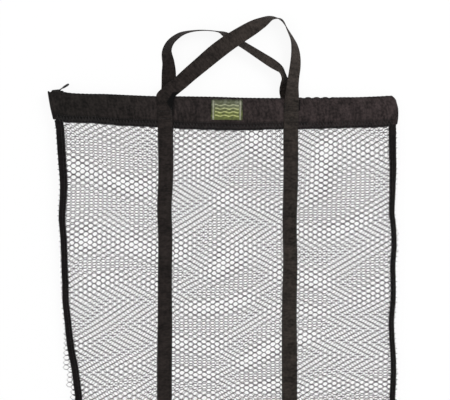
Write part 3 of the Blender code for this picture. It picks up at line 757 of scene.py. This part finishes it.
enamel = Finish("zip_enamel", (0.012, 0.012, 0.012), 0.45, Specular_IOR_Level=0.35)
spot = enamel.node("ShaderNodeTexCoord", {}, {}, "Object")
chip = enamel.noise(0.0024, 4.0, spot).step(0.68, 0.76)
smear = enamel.noise(0.011, 3.0, spot)
enamel.feed("Base Color", enamel.colour(chip, (0.009, 0.009, 0.0095), (0.12, 0.115, 0.11)))
enamel.feed("Roughness", smear * 0.3 + 0.38)
enamel.raise_by(chip, -0.00002)


def soften(part, width):
    """Rounds the sharp edges of a cast part."""
    rounding = part.modifiers.new("soften", "BEVEL")
    rounding.width, rounding.segments, rounding.limit_method = width, 2, "ANGLE"
    rounding.angle_limit = radians(35)


for name in ("zip_slider", "zip_bottom_stop"):
    part = frame["nodes"][name]
    part.data.materials.clear()
    part.data.materials.append(enamel.material)
    soften(part, 0.00018)

# The puller is a cast tab with an eye at one end, whose thin bar turns under the slider's bridge. It gets
# thicker past the slider, and has a slot through its grip.
PULLER_TURN = radians(33)
PULLER_SECTIONS = [  # distance from the bar, width, thickness
    (-0.5, 5.6, 0.8), (0.5, 6.0, 0.9), (4.4, 6.0, 1.2), (8.2, 5.0, 1.35), (9.5, 4.8, 2.9), (13.0, 5.6, 3.2),
    (18.0, 6.0, 3.2), (19.8, 5.0, 2.8), (20.9, 2.6, 1.7),
]
joints = frame["record"]["behaviour"]["joints"]
pin = Vector(next(joint["pos_m"] for joint in joints if joint["name"] == "puller_swing"))


def cast_bar(name, sections, square=0.72, material=None):
    """A bar along X through (distance, width, thickness) sections with cut corners."""
    rings = []
    for at, wide, thick in sections:
        corner = min(wide, thick) / 2 * (1 - square)
        u, v = wide / 2, thick / 2
        outline = [(-u, corner - v), (corner - u, -v), (u - corner, -v), (u, corner - v)]
        rings.append([Vector((at, -b, a)) * MM for a, b in outline + [(-a, -b) for a, b in outline]])
    return strip(name, rings, [section[0] * MM for section in sections], material)


STOP_START, STOP_BEVEL = 283.2, 0.4
for face in ("back", "front"):
    # Each top stop is a clamped block at the end of its row, and hangs with it
    low, high = box_of(f"{face}_top_stop")
    long, tall, thick = high - low
    end = (thick * 0.8, tall * 0.8)
    sections = [(0, *end), (STOP_BEVEL, thick, tall), (long - STOP_BEVEL, thick, tall), (long, *end)]
    stop = cast_bar(f"{face}_stop", sections, material=enamel.material)
    spot = place(STOP_START, tooth_line(STOP_START) + ROW_DROP, (low[2] + high[2]) / 2)
    stop.data.transform(Matrix.Translation(spot))
    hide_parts(f"{face}_top_stop")
    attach(stop, "bag")

tab = cast_bar("puller_tab", PULLER_SECTIONS)
eye = cast_bar("puller_eye_cutter", [(0.5, 3.0, 8.0), (4.1, 3.0, 8.0)], 1.0)
slot = cast_bar("puller_slot_cutter", [(12.0, 2.2, 8.0), (17.6, 2.2, 8.0)], 0.8)
for cutter in (eye, slot):
    cut = tab.modifiers.new(cutter.name, "BOOLEAN")
    cut.operation, cut.solver, cut.object = "DIFFERENCE", "EXACT", cutter
bpy.context.view_layer.update()
cast = bpy.data.meshes.new_from_object(tab.evaluated_get(bpy.context.evaluated_depsgraph_get()))
for helper in (tab, eye, slot):
    bpy.data.objects.remove(helper)
cast.transform(Matrix.Translation(pin) @ Matrix.Rotation(PULLER_TURN, 4, "Z"))
cast.materials.clear()
cast.materials.append(enamel.material)
cast.shade_smooth()
cast.set_sharp_from_angle(angle=radians(40))
puller = new_object("puller_tab", cast)
soften(puller, 0.00015)
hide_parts("zip_puller")
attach(puller, "puller")

# Mouth band
# The mouth is bound by 50 mm black webbing, one length along each face, with the ends turned in to meet at
# the sides. It hangs in a slack curve between its ends, and the left end flares out.

BAND_TALL = 50.0
BAND_THICK = 1.8
BAND_STATIONS = 300
BAND_SEAMS, SEAM_REACH = (3.2, 41.5), (-290, 286)  # the two lines of stitches, from the top edge
END_ROUND, END_STEPS = 4.5, 8  # where the webbing turns in at its ends
CRUMPLE = 0.7  # share of the folds that the sewn webbing keeps
STRAP_TOPS = (-101.5, 113.5)
LABEL_MIDDLE = (3.5, -26.8)
SEWN_FLAT = [(STRAP_TOPS[0], 13.5), (STRAP_TOPS[1], 13.5), (LABEL_MIDDLE[0], 27.5)]  # middle, half width
band_left = curve_through([(0, -303.6), (0.25, -301.6), (0.5, -299.1), (0.75, -296.6), (1, -293.6)])
band_right = curve_through(
    [(0, 288.0), (0.05, 291.4), (0.17, 294.0), (0.25, 295.1), (0.36, 296.4), (0.53, 297.0), (0.78, 296.7),
     (1, 295.4)]
)


def limited(share):
    """That share, held between 0 and 1."""
    return min(max(share, 0.0), 1.0)


def band_crumple(x, v, face):
    """How far the webbing stands out of its plane. It is puckered along its lower seam and by the right
    strap, and lies flat where a strap or the label is sewn on."""
    seam = max(0.0, (v - 0.72) / 0.28) ** 2
    pucker = 0.32 * seam * sin(x / 1.9 + 2.2 * sin(x / 41)) * (0.6 + 0.4 * sin(x / 13))
    slow = 0.5 * sin(x / 47 + 1.3 * v + (face == "back")) * sin(pi * v)
    creases = 0.35 * sin(x / 3.4 + 3 * sin(x / 29)) * sin(pi * v) ** 0.5
    if face == "back":
        return (pucker + slow + creases) * 0.6
    lumps = 0.8 * exp(-(((x - GATHER_MIDDLE) / 28) ** 4)) * cos(2 * pi * (x - LUMP_MIDDLE) / LUMP_PITCH)
    lumps *= (1 - v) ** 1.5
    rucks = 0.5 * exp(-(((x - 62) / 22) ** 2)) * sin((x - 34 * v) / 3.1) * sin(pi * v)
    flat = 1.0
    for middle, half in SEWN_FLAT:
        flat *= limited((abs(x - middle) - half) / 7)
    return (pucker + slow + creases + (lumps + rucks)) * flat


def band_height(x, v):
    """Height on the band, from its top edge (v = 0) to its foot (v = 1)."""
    return mouth_line(x) * (1 - v) + band_foot(x) * v


def flat_edge(steps, thick, width):
    """(distance across, half thickness) from one selvedge to the other."""
    edge = 0.9 * thick
    shape = [(0.0, 0.0), (0.1 * edge, 0.45), (0.35 * edge, 0.76), (edge, 1.0)]
    inner = [(edge + (width - 2 * edge) * k / steps, 1.0) for k in range(1, steps)]
    return shape + inner + [(width - at, tall) for at, tall in reversed(shape)]


def flat_ring(spots):
    """The ring of a flat section, from its (middle, way from there to the upper face) pairs."""
    upper, lower = [middle + half for middle, half in spots], [middle - half for middle, half in spots]
    return [place(*point) for point in upper + lower[-2:0:-1]]


def band_painted_shades(x, y, across):
    """Painted shade by the straps' raised edges, on the turned-in ends, under the rolled top edge and along
    the foot.
    """
    # Each mask is painted shade, mixed towards near black.
    by_right = x.step(124.2, 125.6) * x.step(129.6, 127.4) * y.step(-29, -24) * y.step(-6, -10)
    by_left = x.step(-89.4, -88.4) * x.step(-84.5, -86.5) * y.step(-44, -34) * y.step(1, -3)
    ends = x.step(-296, -300).most(x.step(292, 295.5))
    rim = across.step(3.6, 1.2) * 0.55
    # Painted shade along the band's foot below its lower stitches, weaker towards the right.
    seam = across.step(42.0, 47.0) * across.step(52.0, 51.0) * (x.step(20, 200) * -0.3 + 0.66)
    return (by_right * 0.85).most(by_left * 0.7).most(ends * 0.5).most(rim).most(seam)


# Colours at the band's left end and at full_at; the right one is lighter partly as painted light.
BAND_TONES = (0.0112, 0.0093, 0.0083), (0.0270, 0.0199, 0.0198)
band_dark = webbing_finish("band_webbing", *BAND_TONES, (4.2, 5.0), 1.3, 2.8, band_painted_shades, full_at=190.0)
band_middles = {}  # height of the webbing's middle on each face, for the seam below
for face, sign in (("back", -1), ("front", 1)):
    low, high = box_of(f"{face}_band")
    flat = (high[2] - BAND_THICK / 2) if face == "front" else (low[2] + BAND_THICK / 2)
    band_middles[face] = flat
    seam_z = low[2] if face == "front" else high[2]
    rise = abs(flat - seam_z)
    turns = [radians(90 * k / END_STEPS) for k in range(END_STEPS + 1)]
    stations = [(-1, END_ROUND * (1 - cos(turn)), sin(turn)) for turn in turns]
    stations += [(0, k / BAND_STATIONS, 1.0) for k in range(1, BAND_STATIONS)]
    stations += [(1, inset, lift) for _, inset, lift in stations[END_STEPS::-1]]
    rings, along = [], []
    for kind, inset, lift in stations:  # kind is -1 on the left round, 1 on the right one and 0 between them
        spots = []
        for at, tall in flat_edge(18, BAND_THICK, BAND_TALL):
            v = at / BAND_TALL
            start, end = band_left(v) + 0.9, band_right(v) - 0.9
            if kind:
                x = start + inset if kind < 0 else end - inset
            else:
                x = start + END_ROUND + (end - start - 2 * END_ROUND) * inset
            z = seam_z + sign * rise * lift + sign * band_crumple(x, v, face) * lift * CRUMPLE
            out = Vector((kind * (1 - lift), 0, sign * lift)).normalized()
            spots.append((Vector((x, band_height(x, v), z)), out * BAND_THICK / 2 * tall))
        rings.append(flat_ring(spots))
        along.append(0 if not along else along[-1] + (rings[-1][7] - rings[-2][7]).length)
    band = strip(f"{face}_band_webbing", rings, along, band_dark)
    if face == "back":
        band.data.flip_normals()
    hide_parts(f"{face}_band")
    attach(band, "bag")
    surface = flat + sign * BAND_THICK / 2
    seats = []
    for v in (inset / BAND_TALL for inset in BAND_SEAMS):
        line = []
        for x in evenly(*SEAM_REACH, 199):
            z = surface + sign * (band_crumple(x, v, face) * CRUMPLE + 0.08)
            line.append(place(x, band_height(x, v), z))
        seats += seats_on(line, UP * sign)
    sew(f"{face}_band_stitches", seats)

# Overlocked lower edge of the band
# The netting's edge is gathered below the band into a lumpy roll, coloured much darker than the net's yarn as
# painted shade of the seam. Loops of thick black thread bind the roll to the band's last 7 mm and leave a
# rough dark line there.

LOOP_PITCH, LOOP_STEPS = 5.4, 12
LOOP_THREAD, LOOP_RISE, LOOP_PRESSED = 0.46, 1.28, 0.75  # radius, height over the band, less under a strap
ROLL_TALL, ROLL_THICK = 1.25, 0.95  # half of each
OVER_BAND, UNDER_BAND = 6.6, 2.6  # how far the loops reach up the band and down round the roll
SEAM_END, SEAM_STEPS = 287.0, 600  # half length of the roll
# The roll's colours are painted shade of the seam, far darker than the net's yarn.
ROLL_SHADE_TONES = (0.003, 0.0025, 0.0025), (0.006, 0.0045, 0.0045)
roll_painted_shade = webbing_finish("gathered_net_painted_shade", *ROLL_SHADE_TONES, (2.4, 2.0), 0.9, 1.6)
overlock_thread = thread_finish("overlock_thread", (0.0025, 0.0022, 0.0022), (0.017, 0.015, 0.015))


def ahead_of(points, i):
    """The way along a line of points at one of them."""
    return points[min(i + 1, len(points) - 1)] - points[max(i - 1, 0)]


def cord(name, points, radius, material):
    """A round thread along points."""
    rings = []
    for i, point in enumerate(points):
        ahead = ahead_of(points, i).normalized()
        side = (UP.cross(ahead) if abs(ahead.z) < 0.95 else Vector((1, 0, 0)).cross(ahead)).normalized()
        lift = ahead.cross(side)
        angles = [2 * pi * k / 5 for k in range(5)]
        rings.append([point + (side * cos(t) + lift * sin(t)) * radius for t in angles])
    return strip(name, rings, [k * MM for k in range(len(rings))], material)


def under_strap(x):
    """1 where a strap holds the seam down."""
    return max(limited((15.5 - abs(x - top)) / 2.5) for top in STRAP_TOPS)


for face, middle in band_middles.items():
    rings = []
    for x in evenly(-SEAM_END, SEAM_END, SEAM_STEPS):
        lump = 0.5 * sin(x / 1.35 + 2 * sin(x / 17))
        lump += 0.5 * sin(x / 2.9 + 1.5 * sin(x / 11))
        foot = band_foot(x)
        half_tall = ROLL_TALL + 0.5 * lump
        half_thick = ROLL_THICK + 0.2 * lump * (1 - under_strap(x))
        turns = [2 * pi * k / 10 for k in range(10)]
        section = [(foot - 1.0 + half_tall * cos(t), middle + half_thick * sin(t)) for t in turns]
        rings.append([place(x, y, z) for y, z in section])
    along = [at * MM for at in evenly(0, 2 * SEAM_END, SEAM_STEPS)]
    pieces = [strip(f"{face}_gathered_edge", rings, along, roll_painted_shade)]
    for strand, shift, slant in (("outer", 0.0, 1.7), ("inner", 0.5, -1.5)):
        rng = random.Random(f"{face} {strand}")
        points = []
        for k in range(int(2 * SEAM_END / LOOP_PITCH * LOOP_STEPS)):
            turn = 2 * pi * (k / LOOP_STEPS + shift)
            if k % LOOP_STEPS == 0:
                wander = rng.uniform(-0.8, 0.8)
            reach = cos(turn)
            over = copysign(abs(sin(turn)) ** 0.4, sin(turn))
            x = -SEAM_END + LOOP_PITCH * k / LOOP_STEPS + slant * reach * over + 0.3 * wander
            y = band_foot(x) + (OVER_BAND + UNDER_BAND) / 2 * reach + (OVER_BAND - UNDER_BAND) / 2
            z = middle + (LOOP_RISE - LOOP_PRESSED * under_strap(x)) * over + rng.uniform(-0.06, 0.06)
            points.append(place(x, y + 0.5 * wander, z))
        pieces.append(cord(f"{face}_overlock_{strand}", points, LOOP_THREAD * MM, overlock_thread))
    for piece in pieces:
        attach(piece, "bag")

# Straps and carrying handles
# One length of 25 mm black webbing runs up each side of a face, sewn down from the hem to the mouth, and goes
# on round in between as a loose carrying handle. The front handle lies over the back one.

WEBBING_WIDE, WEBBING_THICK = 25.0, 1.6
STRAP_FOOT, STRAP_STEPS = -599.6, 240
HANDLE_MIDDLE = 6.0
HANDLE_GAP, TURN_GAP = 2.5, 0.4  # between stations
TILT_WEIGHT = 100  # length that a turn by one radian counts for, where a route is smoothed
FRONT_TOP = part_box("front_left_strap")[1][2] / MM - WEBBING_THICK
UNDER_TILT = radians(62)
LIFTS = {"strap": FRONT_TOP, "over": WEBBING_WIDE * sin(UNDER_TILT) + WEBBING_THICK}
STRAP_LINES = {  # middle x by y
    "left": curve_through(
        [(0, -101.5), (-73, -100.8), (-155, -99.7), (-196, -101), (-237, -99.5), (-319, -98.6), (-442, -97.6),
         (-600, -96.5)]
    ),
    "right": curve_through(
        [(0, 113.5), (-70, 113.4), (-152, 114.5), (-234, 113.8), (-275, 115.3), (-398, 115.2), (-439, 116.3),
         (-600, 118)]
    ),
}
STRAP_WIDTHS = {
    "left": curve_through([(0, 25.2), (-60, 25.6), (-180, 24.6), (-300, 23.6), (-450, 25.2), (-600, 25)]),
    "right": curve_through([(0, 25), (-120, 24.6), (-234, 23.9), (-380, 25.2), (-450, 26), (-600, 25)]),
}
FRONT_TURN = [  # left selvedge, right selvedge, height of the middle: the strap folds round into the handle
    ((-113.8, -24), (-88.9, -24), 20.6), ((-114.6, -17), (-88.8, -20), 20.7),
    ((-116, -9.5), (-88.4, -15.5), 20.9), ((-117, -4.5), (-87.6, -12), 21.1),
    ((-114.6, 0.6), (-86.5, -9.2), 21.3), ((-110.4, 5), (-85.2, -6.8), 21.4),
    ((-104.6, 10.3), (-84, -5.2), 21.5), ((-98.6, 16.1), (-81.9, -3.2), 21.6),
]
FRONT_ROUTE = [  # middle of the webbing, x from HANDLE_MIDDLE and y, tilt, and height of the lower edge
    (-83, 17, 0, 20.9), (-67.6, 31.2, 0, 21.8), (-46.8, 49, 0, "over"), (-22.3, 70.1, 0, "over"),
    (1.5, 88.2, 0, "over"), (31, 107, 8, "over"), (54, 121.5, 34, 12), (75, 131.5, 70, 2),
    (90.5, 127, 86, 0), (101.2, 108.9, 78, 0), (108, 96, 70, 0), (112.4, 83, 57, 0),
    (114.2, 66, 45, 2), (113.2, 48, 38, 6), (110.9, 31.5, 37, 9.5), (109, 14, 32, 14),
    (108.2, 0, 18, 18), (107.6, -14, 0, "strap"),
]
BACK_ROUTE = [
    (-107.4, -14, 0, 0), (-105.1, -6, 0, 0), (-103.3, 8, 0, 0), (-103, 30, 4, 0),
    (-103.7, 52, 30, 0), (-106.6, 73, 46, 0), (-100.5, 87.6, 55, 0), (-85.8, 100.2, 64, 0),
    (-68, 106.4, 75, 0), (-46, 108.8, 80, 0), (-21, 107.2, 80, 0), (-4.8, 101.2, 60, 0),
    (15, 90.4, 56, 0), (29.7, 81.8, 54, 0), (54.2, 66.7, 48, 0), (74.6, 54, 45, 0),
    (86.4, 45.8, 53, 0), (92.2, 37.8, 65, 0), (95.2, 30.6, 64, 0), (97.6, 21, 42, 0),
    (99.4, 12, 12, 0), (100.4, 4, 0, 0), (102.6, -4, 0, 0), (105.4, -10, 0, 0),
    (107.4, -16, 0, 0),
]


def on_curve(points, knots, at):
    """The point at a knot value on a curve through the middle two of four points."""

    def mix(first, second, low, high):
        return first.lerp(second, (at - knots[low]) / (knots[high] - knots[low]))

    sides = [mix(points[i], points[i + 1], i, i + 1) for i in range(3)]
    halves = [mix(sides[i], sides[i + 1], i, i + 2) for i in range(2)]
    return mix(halves[0], halves[1], 1, 2)


def smooth_route(points, gap):
    """Stations on a smooth curve through a route, at most that far apart."""
    padded = [2 * points[0] - points[1], *points, 2 * points[-1] - points[-2]]
    stations = []
    for i in range(len(points) - 1):
        four = padded[i : i + 4]
        knots = [0.0]
        for start, end in zip(four, four[1:]):
            knots.append(knots[-1] + sqrt((end - start).length))
        steps = ceil((four[2] - four[1]).xy.length / gap)
        for step in range(steps):
            stations.append(on_curve(four, knots, knots[1] + (knots[2] - knots[1]) * step / steps))
    return [*stations, points[-1]]


def strap_height(face, x, y):
    """Height of a strap's middle: on the band, then down over its edge onto the net, and up onto the hem."""
    if face == "back":
        on_band = on_hem = WEBBING_THICK / 2
        on_net = back_level(x, y) - NET_THICK / 2 - NET_GAP - WEBBING_THICK / 2
    else:
        on_band = FRONT_TOP + WEBBING_THICK / 2
        on_net = front_level(x, y) + NET_THICK / 2 + NET_GAP + WEBBING_THICK / 2
        on_hem = hem_high + NET_GAP + WEBBING_THICK / 2
    off_band = limited((band_foot(x) - 1.9 - y) / 10)
    onto_hem = limited((HEM_TOP + 9 - y) / 9)
    off_band, onto_hem = (t * t * (3 - 2 * t) for t in (off_band, onto_hem))
    return on_band * (1 - off_band) + (on_net * (1 - onto_hem) + on_hem * onto_hem) * off_band


def strap_stations(face, side_name, top):
    """Pairs of selvedge points (left, right) down a strap, from that height to the hem."""
    found = []
    for y in evenly(top, STRAP_FOOT, STRAP_STEPS):
        half = STRAP_WIDTHS[side_name](y) / 2 + 0.14 * sin(y * 2 * pi / 9.3)
        x = STRAP_LINES[side_name](y) + 0.2 * sin(y / 23)
        z = strap_height(face, x, y)
        found.append((Vector((x - half, y, z)), Vector((x + half, y, z))))
    return found


def handle_stations(route, widths):
    """Pairs of selvedge points (left, right) round a handle, for one who goes along it."""
    points = []
    for x, y, tilt, lift in route:
        points.append(Vector((HANDLE_MIDDLE + x, y, LIFTS.get(lift, lift), radians(tilt) * TILT_WEIGHT)))
    spots, tilts = [], []
    for x, y, lift, tilt in smooth_route(points, HANDLE_GAP):
        tilts.append(min(max(tilt / TILT_WEIGHT, 0.0), pi / 2))
        rise = (WEBBING_WIDE * sin(tilts[-1]) + WEBBING_THICK * cos(tilts[-1])) / 2
        spots.append(Vector((x, y, max(lift, 0.0) + rise)))
    found = []
    for i, (spot, tilt) in enumerate(zip(spots, tilts)):
        ahead = ahead_of(spots, i)
        ahead.z = 0
        ahead.normalize()
        across = Matrix.Rotation(-tilt, 3, ahead) @ ahead.cross(UP)
        half = widths(i / len(spots)) / 2
        found.append((spot - across * half, spot + across * half))
    return found


def ribbon(name, stations, material):
    """Webbing through pairs of selvedge points, with rounded selvedges."""
    profile = flat_edge(12, WEBBING_THICK, WEBBING_WIDE)
    middles = [(left + right) / 2 for left, right in stations]
    rings, along = [], []
    for i, (left, right) in enumerate(stations):
        normal = (right - left).cross(ahead_of(middles, i)).normalized()
        spots = []
        for at, tall in profile:
            spots.append((left.lerp(right, at / WEBBING_WIDE), normal * tall * WEBBING_THICK / 2))
        rings.append(flat_ring(spots))
        along.append(0 if i == 0 else along[-1] + (middles[i] - middles[i - 1]).length * MM)
    return strip(name, rings, along, material)


def turn_painted_shade(x, y, _):
    """Painted shade in the fold inside the front handle's left turn, and along the crease below it."""
    wide = 11.5 - abs(y + 15.5) * 0.62
    fold = (x + 88.6 + wide).step(-0.8, 2.2) * wide.step(0.0, 1.5) * x.step(-70, -78)
    crease = x.step(-90.8, -89.6) * y.step(-44, -36) * y.step(-14, -20) * x.step(-60, -75)
    return fold.most(crease * 0.7)


# Colours at the straps' left and right ends; the right one is lighter partly as painted light.
STRAP_TONES = (0.010, 0.0072, 0.0070), (0.0262, 0.0212, 0.0178)
STRAP_SEAM_INSET = 2.2
TIE_ROWS, TIE_STITCH = (-30.0, -44.0), (0.003, 0.0024)  # heights of the rows across a strap's top
FRONT_WIDTHS = curve_through([(0, 25.2), (0.1, 26.6), (0.22, 28.6), (0.38, 26.5), (0.5, 25), (1, 25)])
EVEN_WIDTH = curve_through([(0, 25), (1, 25)])
TURN_STEPS = 24
FOLD_REACH = (-3, 9)  # where a handle would begin to bend off the mouth and where it would be free; the points made from them are not used
turn = [[Vector((*side, z)) for side in (near, far)] for near, far, z in FRONT_TURN]
turn_sides = []
for k in (0, 1):
    line = smooth_route([pair[k] for pair in turn], TURN_GAP)
    turn_sides.append([line[round(i * (len(line) - 1) / TURN_STEPS)] for i in range(1, TURN_STEPS + 1)])
FACES = {  # 1 up or -1 down, height of the straps' middle on the band, top of the left strap, painted shade, handle
    "front": (1, FRONT_TOP + WEBBING_THICK / 2, -24.0, turn_painted_shade, (FRONT_ROUTE, FRONT_WIDTHS)),
    "back": (-1, WEBBING_THICK / 2, -14.0, None, (BACK_ROUTE, EVEN_WIDTH)),
}
for face, (sign, height, left_top, shade, handle) in FACES.items():
    left, right = strap_stations(face, "left", left_top), strap_stations(face, "right", -14.0)
    loop = handle_stations(*handle)[1:]
    if face == "front":
        loop = [*zip(*turn_sides), *loop]
    stations = left[::-1] + loop + [(b, a) for a, b in right[1:]]
    webbing_black = webbing_finish(f"{face}_strap_webbing", *STRAP_TONES, painted_shade=shade)
    webbing = ribbon(f"{face}_webbing", stations, webbing_black)
    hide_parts(f"{face}_left_strap", f"{face}_handle", f"{face}_right_strap")
    start, end = (tuple(place(0, y, height)) for y in FOLD_REACH)
    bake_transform(webbing)
    seats = []
    lift = Vector((0, 0, sign * (WEBBING_THICK / 2 + 0.08)))
    for pairs in (left, right):
        for share in (STRAP_SEAM_INSET / WEBBING_WIDE, 1 - STRAP_SEAM_INSET / WEBBING_WIDE):
            seats += seats_on([place(*(a.lerp(b, share) + lift)) for a, b in pairs], UP * sign)
        for y in TIE_ROWS:
            a, b = min(pairs, key=lambda pair: abs(pair[0].y - y))
            line = [place(*(a.lerp(b, share) + lift)) for share in (0.1, 0.9)]
            seats += seats_on(line, UP * sign, *TIE_STITCH)
    sew(f"{face}_strap_stitches", seats)

# Label
# A woven olive label with turned-in edges is sewn to the front of the band. It has pale upright borders and
# plain water lines between them, and gets yellower towards its foot.

LABEL, LABEL_THICK = (54.0, 35.0), 0.8
LABEL_STEPS = 24
LABEL_SEAM_INSET, LABEL_STITCH = 1.4, (0.0026, 0.002)
LABEL_ROUND, LABEL_DRAWN = 0.7, 1.4  # reach of the turned edges' round, and of the drawn-in corners
LABEL_RISE = 0.25  # above the CAD's label
woven = Finish("woven_label", (0.2, 0.23, 0.13), 0.75, Sheen_Weight=0.05, Specular_IOR_Level=0.3)
x, y = woven.spread()
x, y = x - LABEL_MIDDLE[0], y - LABEL_MIDDLE[1]
side = abs(x)
uneven = woven.noise(0.0045).step(0.32, 0.68)
border = abs(side - (LABEL[0] / 2 - 4.0)).step(1.7, 0.9)
upper_edge = y.step(LABEL[1] / 2 - 3.0, LABEL[1] / 2 - 1.4)
dark_edge = upper_edge.most(side.step(LABEL[0] / 2 - 2.3, LABEL[0] / 2 - 1.2))
wave = ((x * 0.42).sine() * 0.9 + y * 1.05).sine()
waves = wave.step(0.25, 0.75) * y.step(-13.5, -12.5) * y.step(12.5, 11.5) * side.step(21.0, 19.5)
towards_foot = y.step(12, -8)
ground = woven.colour(towards_foot, (0.140, 0.150, 0.104), (0.140, 0.166, 0.038))
ground = woven.colour(uneven * 0.75, ground, (0.055, 0.062, 0.024))
crest = woven.colour(towards_foot, (0.40, 0.42, 0.28), (0.54, 0.57, 0.23))
ground = woven.colour(waves * (uneven * -0.45 + 1.0), ground, crest)
ground = woven.colour(border * (uneven * -0.4 + 0.95), ground, (0.34, 0.35, 0.26))
ground = woven.colour(dark_edge * (uneven * 0.6 + 0.35), ground, (0.014, 0.017, 0.006))
pick = ((x * 9.0).sine() * 0.5 + 0.5) * ((y * 14.0).sine() * 0.5 + 0.5)
woven.feed("Base Color", woven.colour(pick * 0.3, ground, (0.02, 0.025, 0.015)))
woven.raise_by(pick + waves * 0.4 + border * 0.6, 0.00012)

low, high = box_of("label")
label_z = (low[2] + high[2]) / 2
rings, along = [], []
for v in evenly(0, 1, LABEL_STEPS):
    end = min(v, 1 - v) * LABEL[1]
    rounded = min(1.0, sqrt(max(0.02, 1 - (1 - min(end / LABEL_ROUND, 1)) ** 2)))
    draw = 0.9 * (1 - min(end / LABEL_DRAWN, 1)) ** 2
    spots = []
    for at, tall in flat_edge(16, LABEL_THICK, LABEL[0]):
        x = LABEL_MIDDLE[0] + (at - LABEL[0] / 2) * (1 - 2 * draw / LABEL[0])
        y = LABEL_MIDDLE[1] - LABEL[1] / 2 + v * LABEL[1]
        z = label_z + 0.12 * sin(x / 7 + y / 11) + LABEL_RISE
        y += 0.25 * sin(x / 4.0) * (v > 0.5)
        spots.append((np.array((x, y, z)), np.array((0, 0, LABEL_THICK / 2 * tall * rounded))))
    rings.append(flat_ring(spots))
    along.append(v * LABEL[1] * MM)
label = strip("label_cloth", rings, along, woven.material)
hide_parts("label")
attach(label, "bag")

seam_x, seam_y = LABEL[0] / 2 - LABEL_SEAM_INSET, LABEL[1] / 2 - LABEL_SEAM_INSET
label_top = label_z + LABEL_THICK / 2 + 0.33
corners = [
    place(LABEL_MIDDLE[0] + x * seam_x, LABEL_MIDDLE[1] + y * seam_y, label_top)
    for x, y in ((-1, -1), (1, -1), (1, 1), (-1, 1), (-1, -1))
]
seats = []
for start, end in zip(corners, corners[1:]):
    seats += seats_on([start, end], UP, *LABEL_STITCH)
sew("label_stitches", seats)
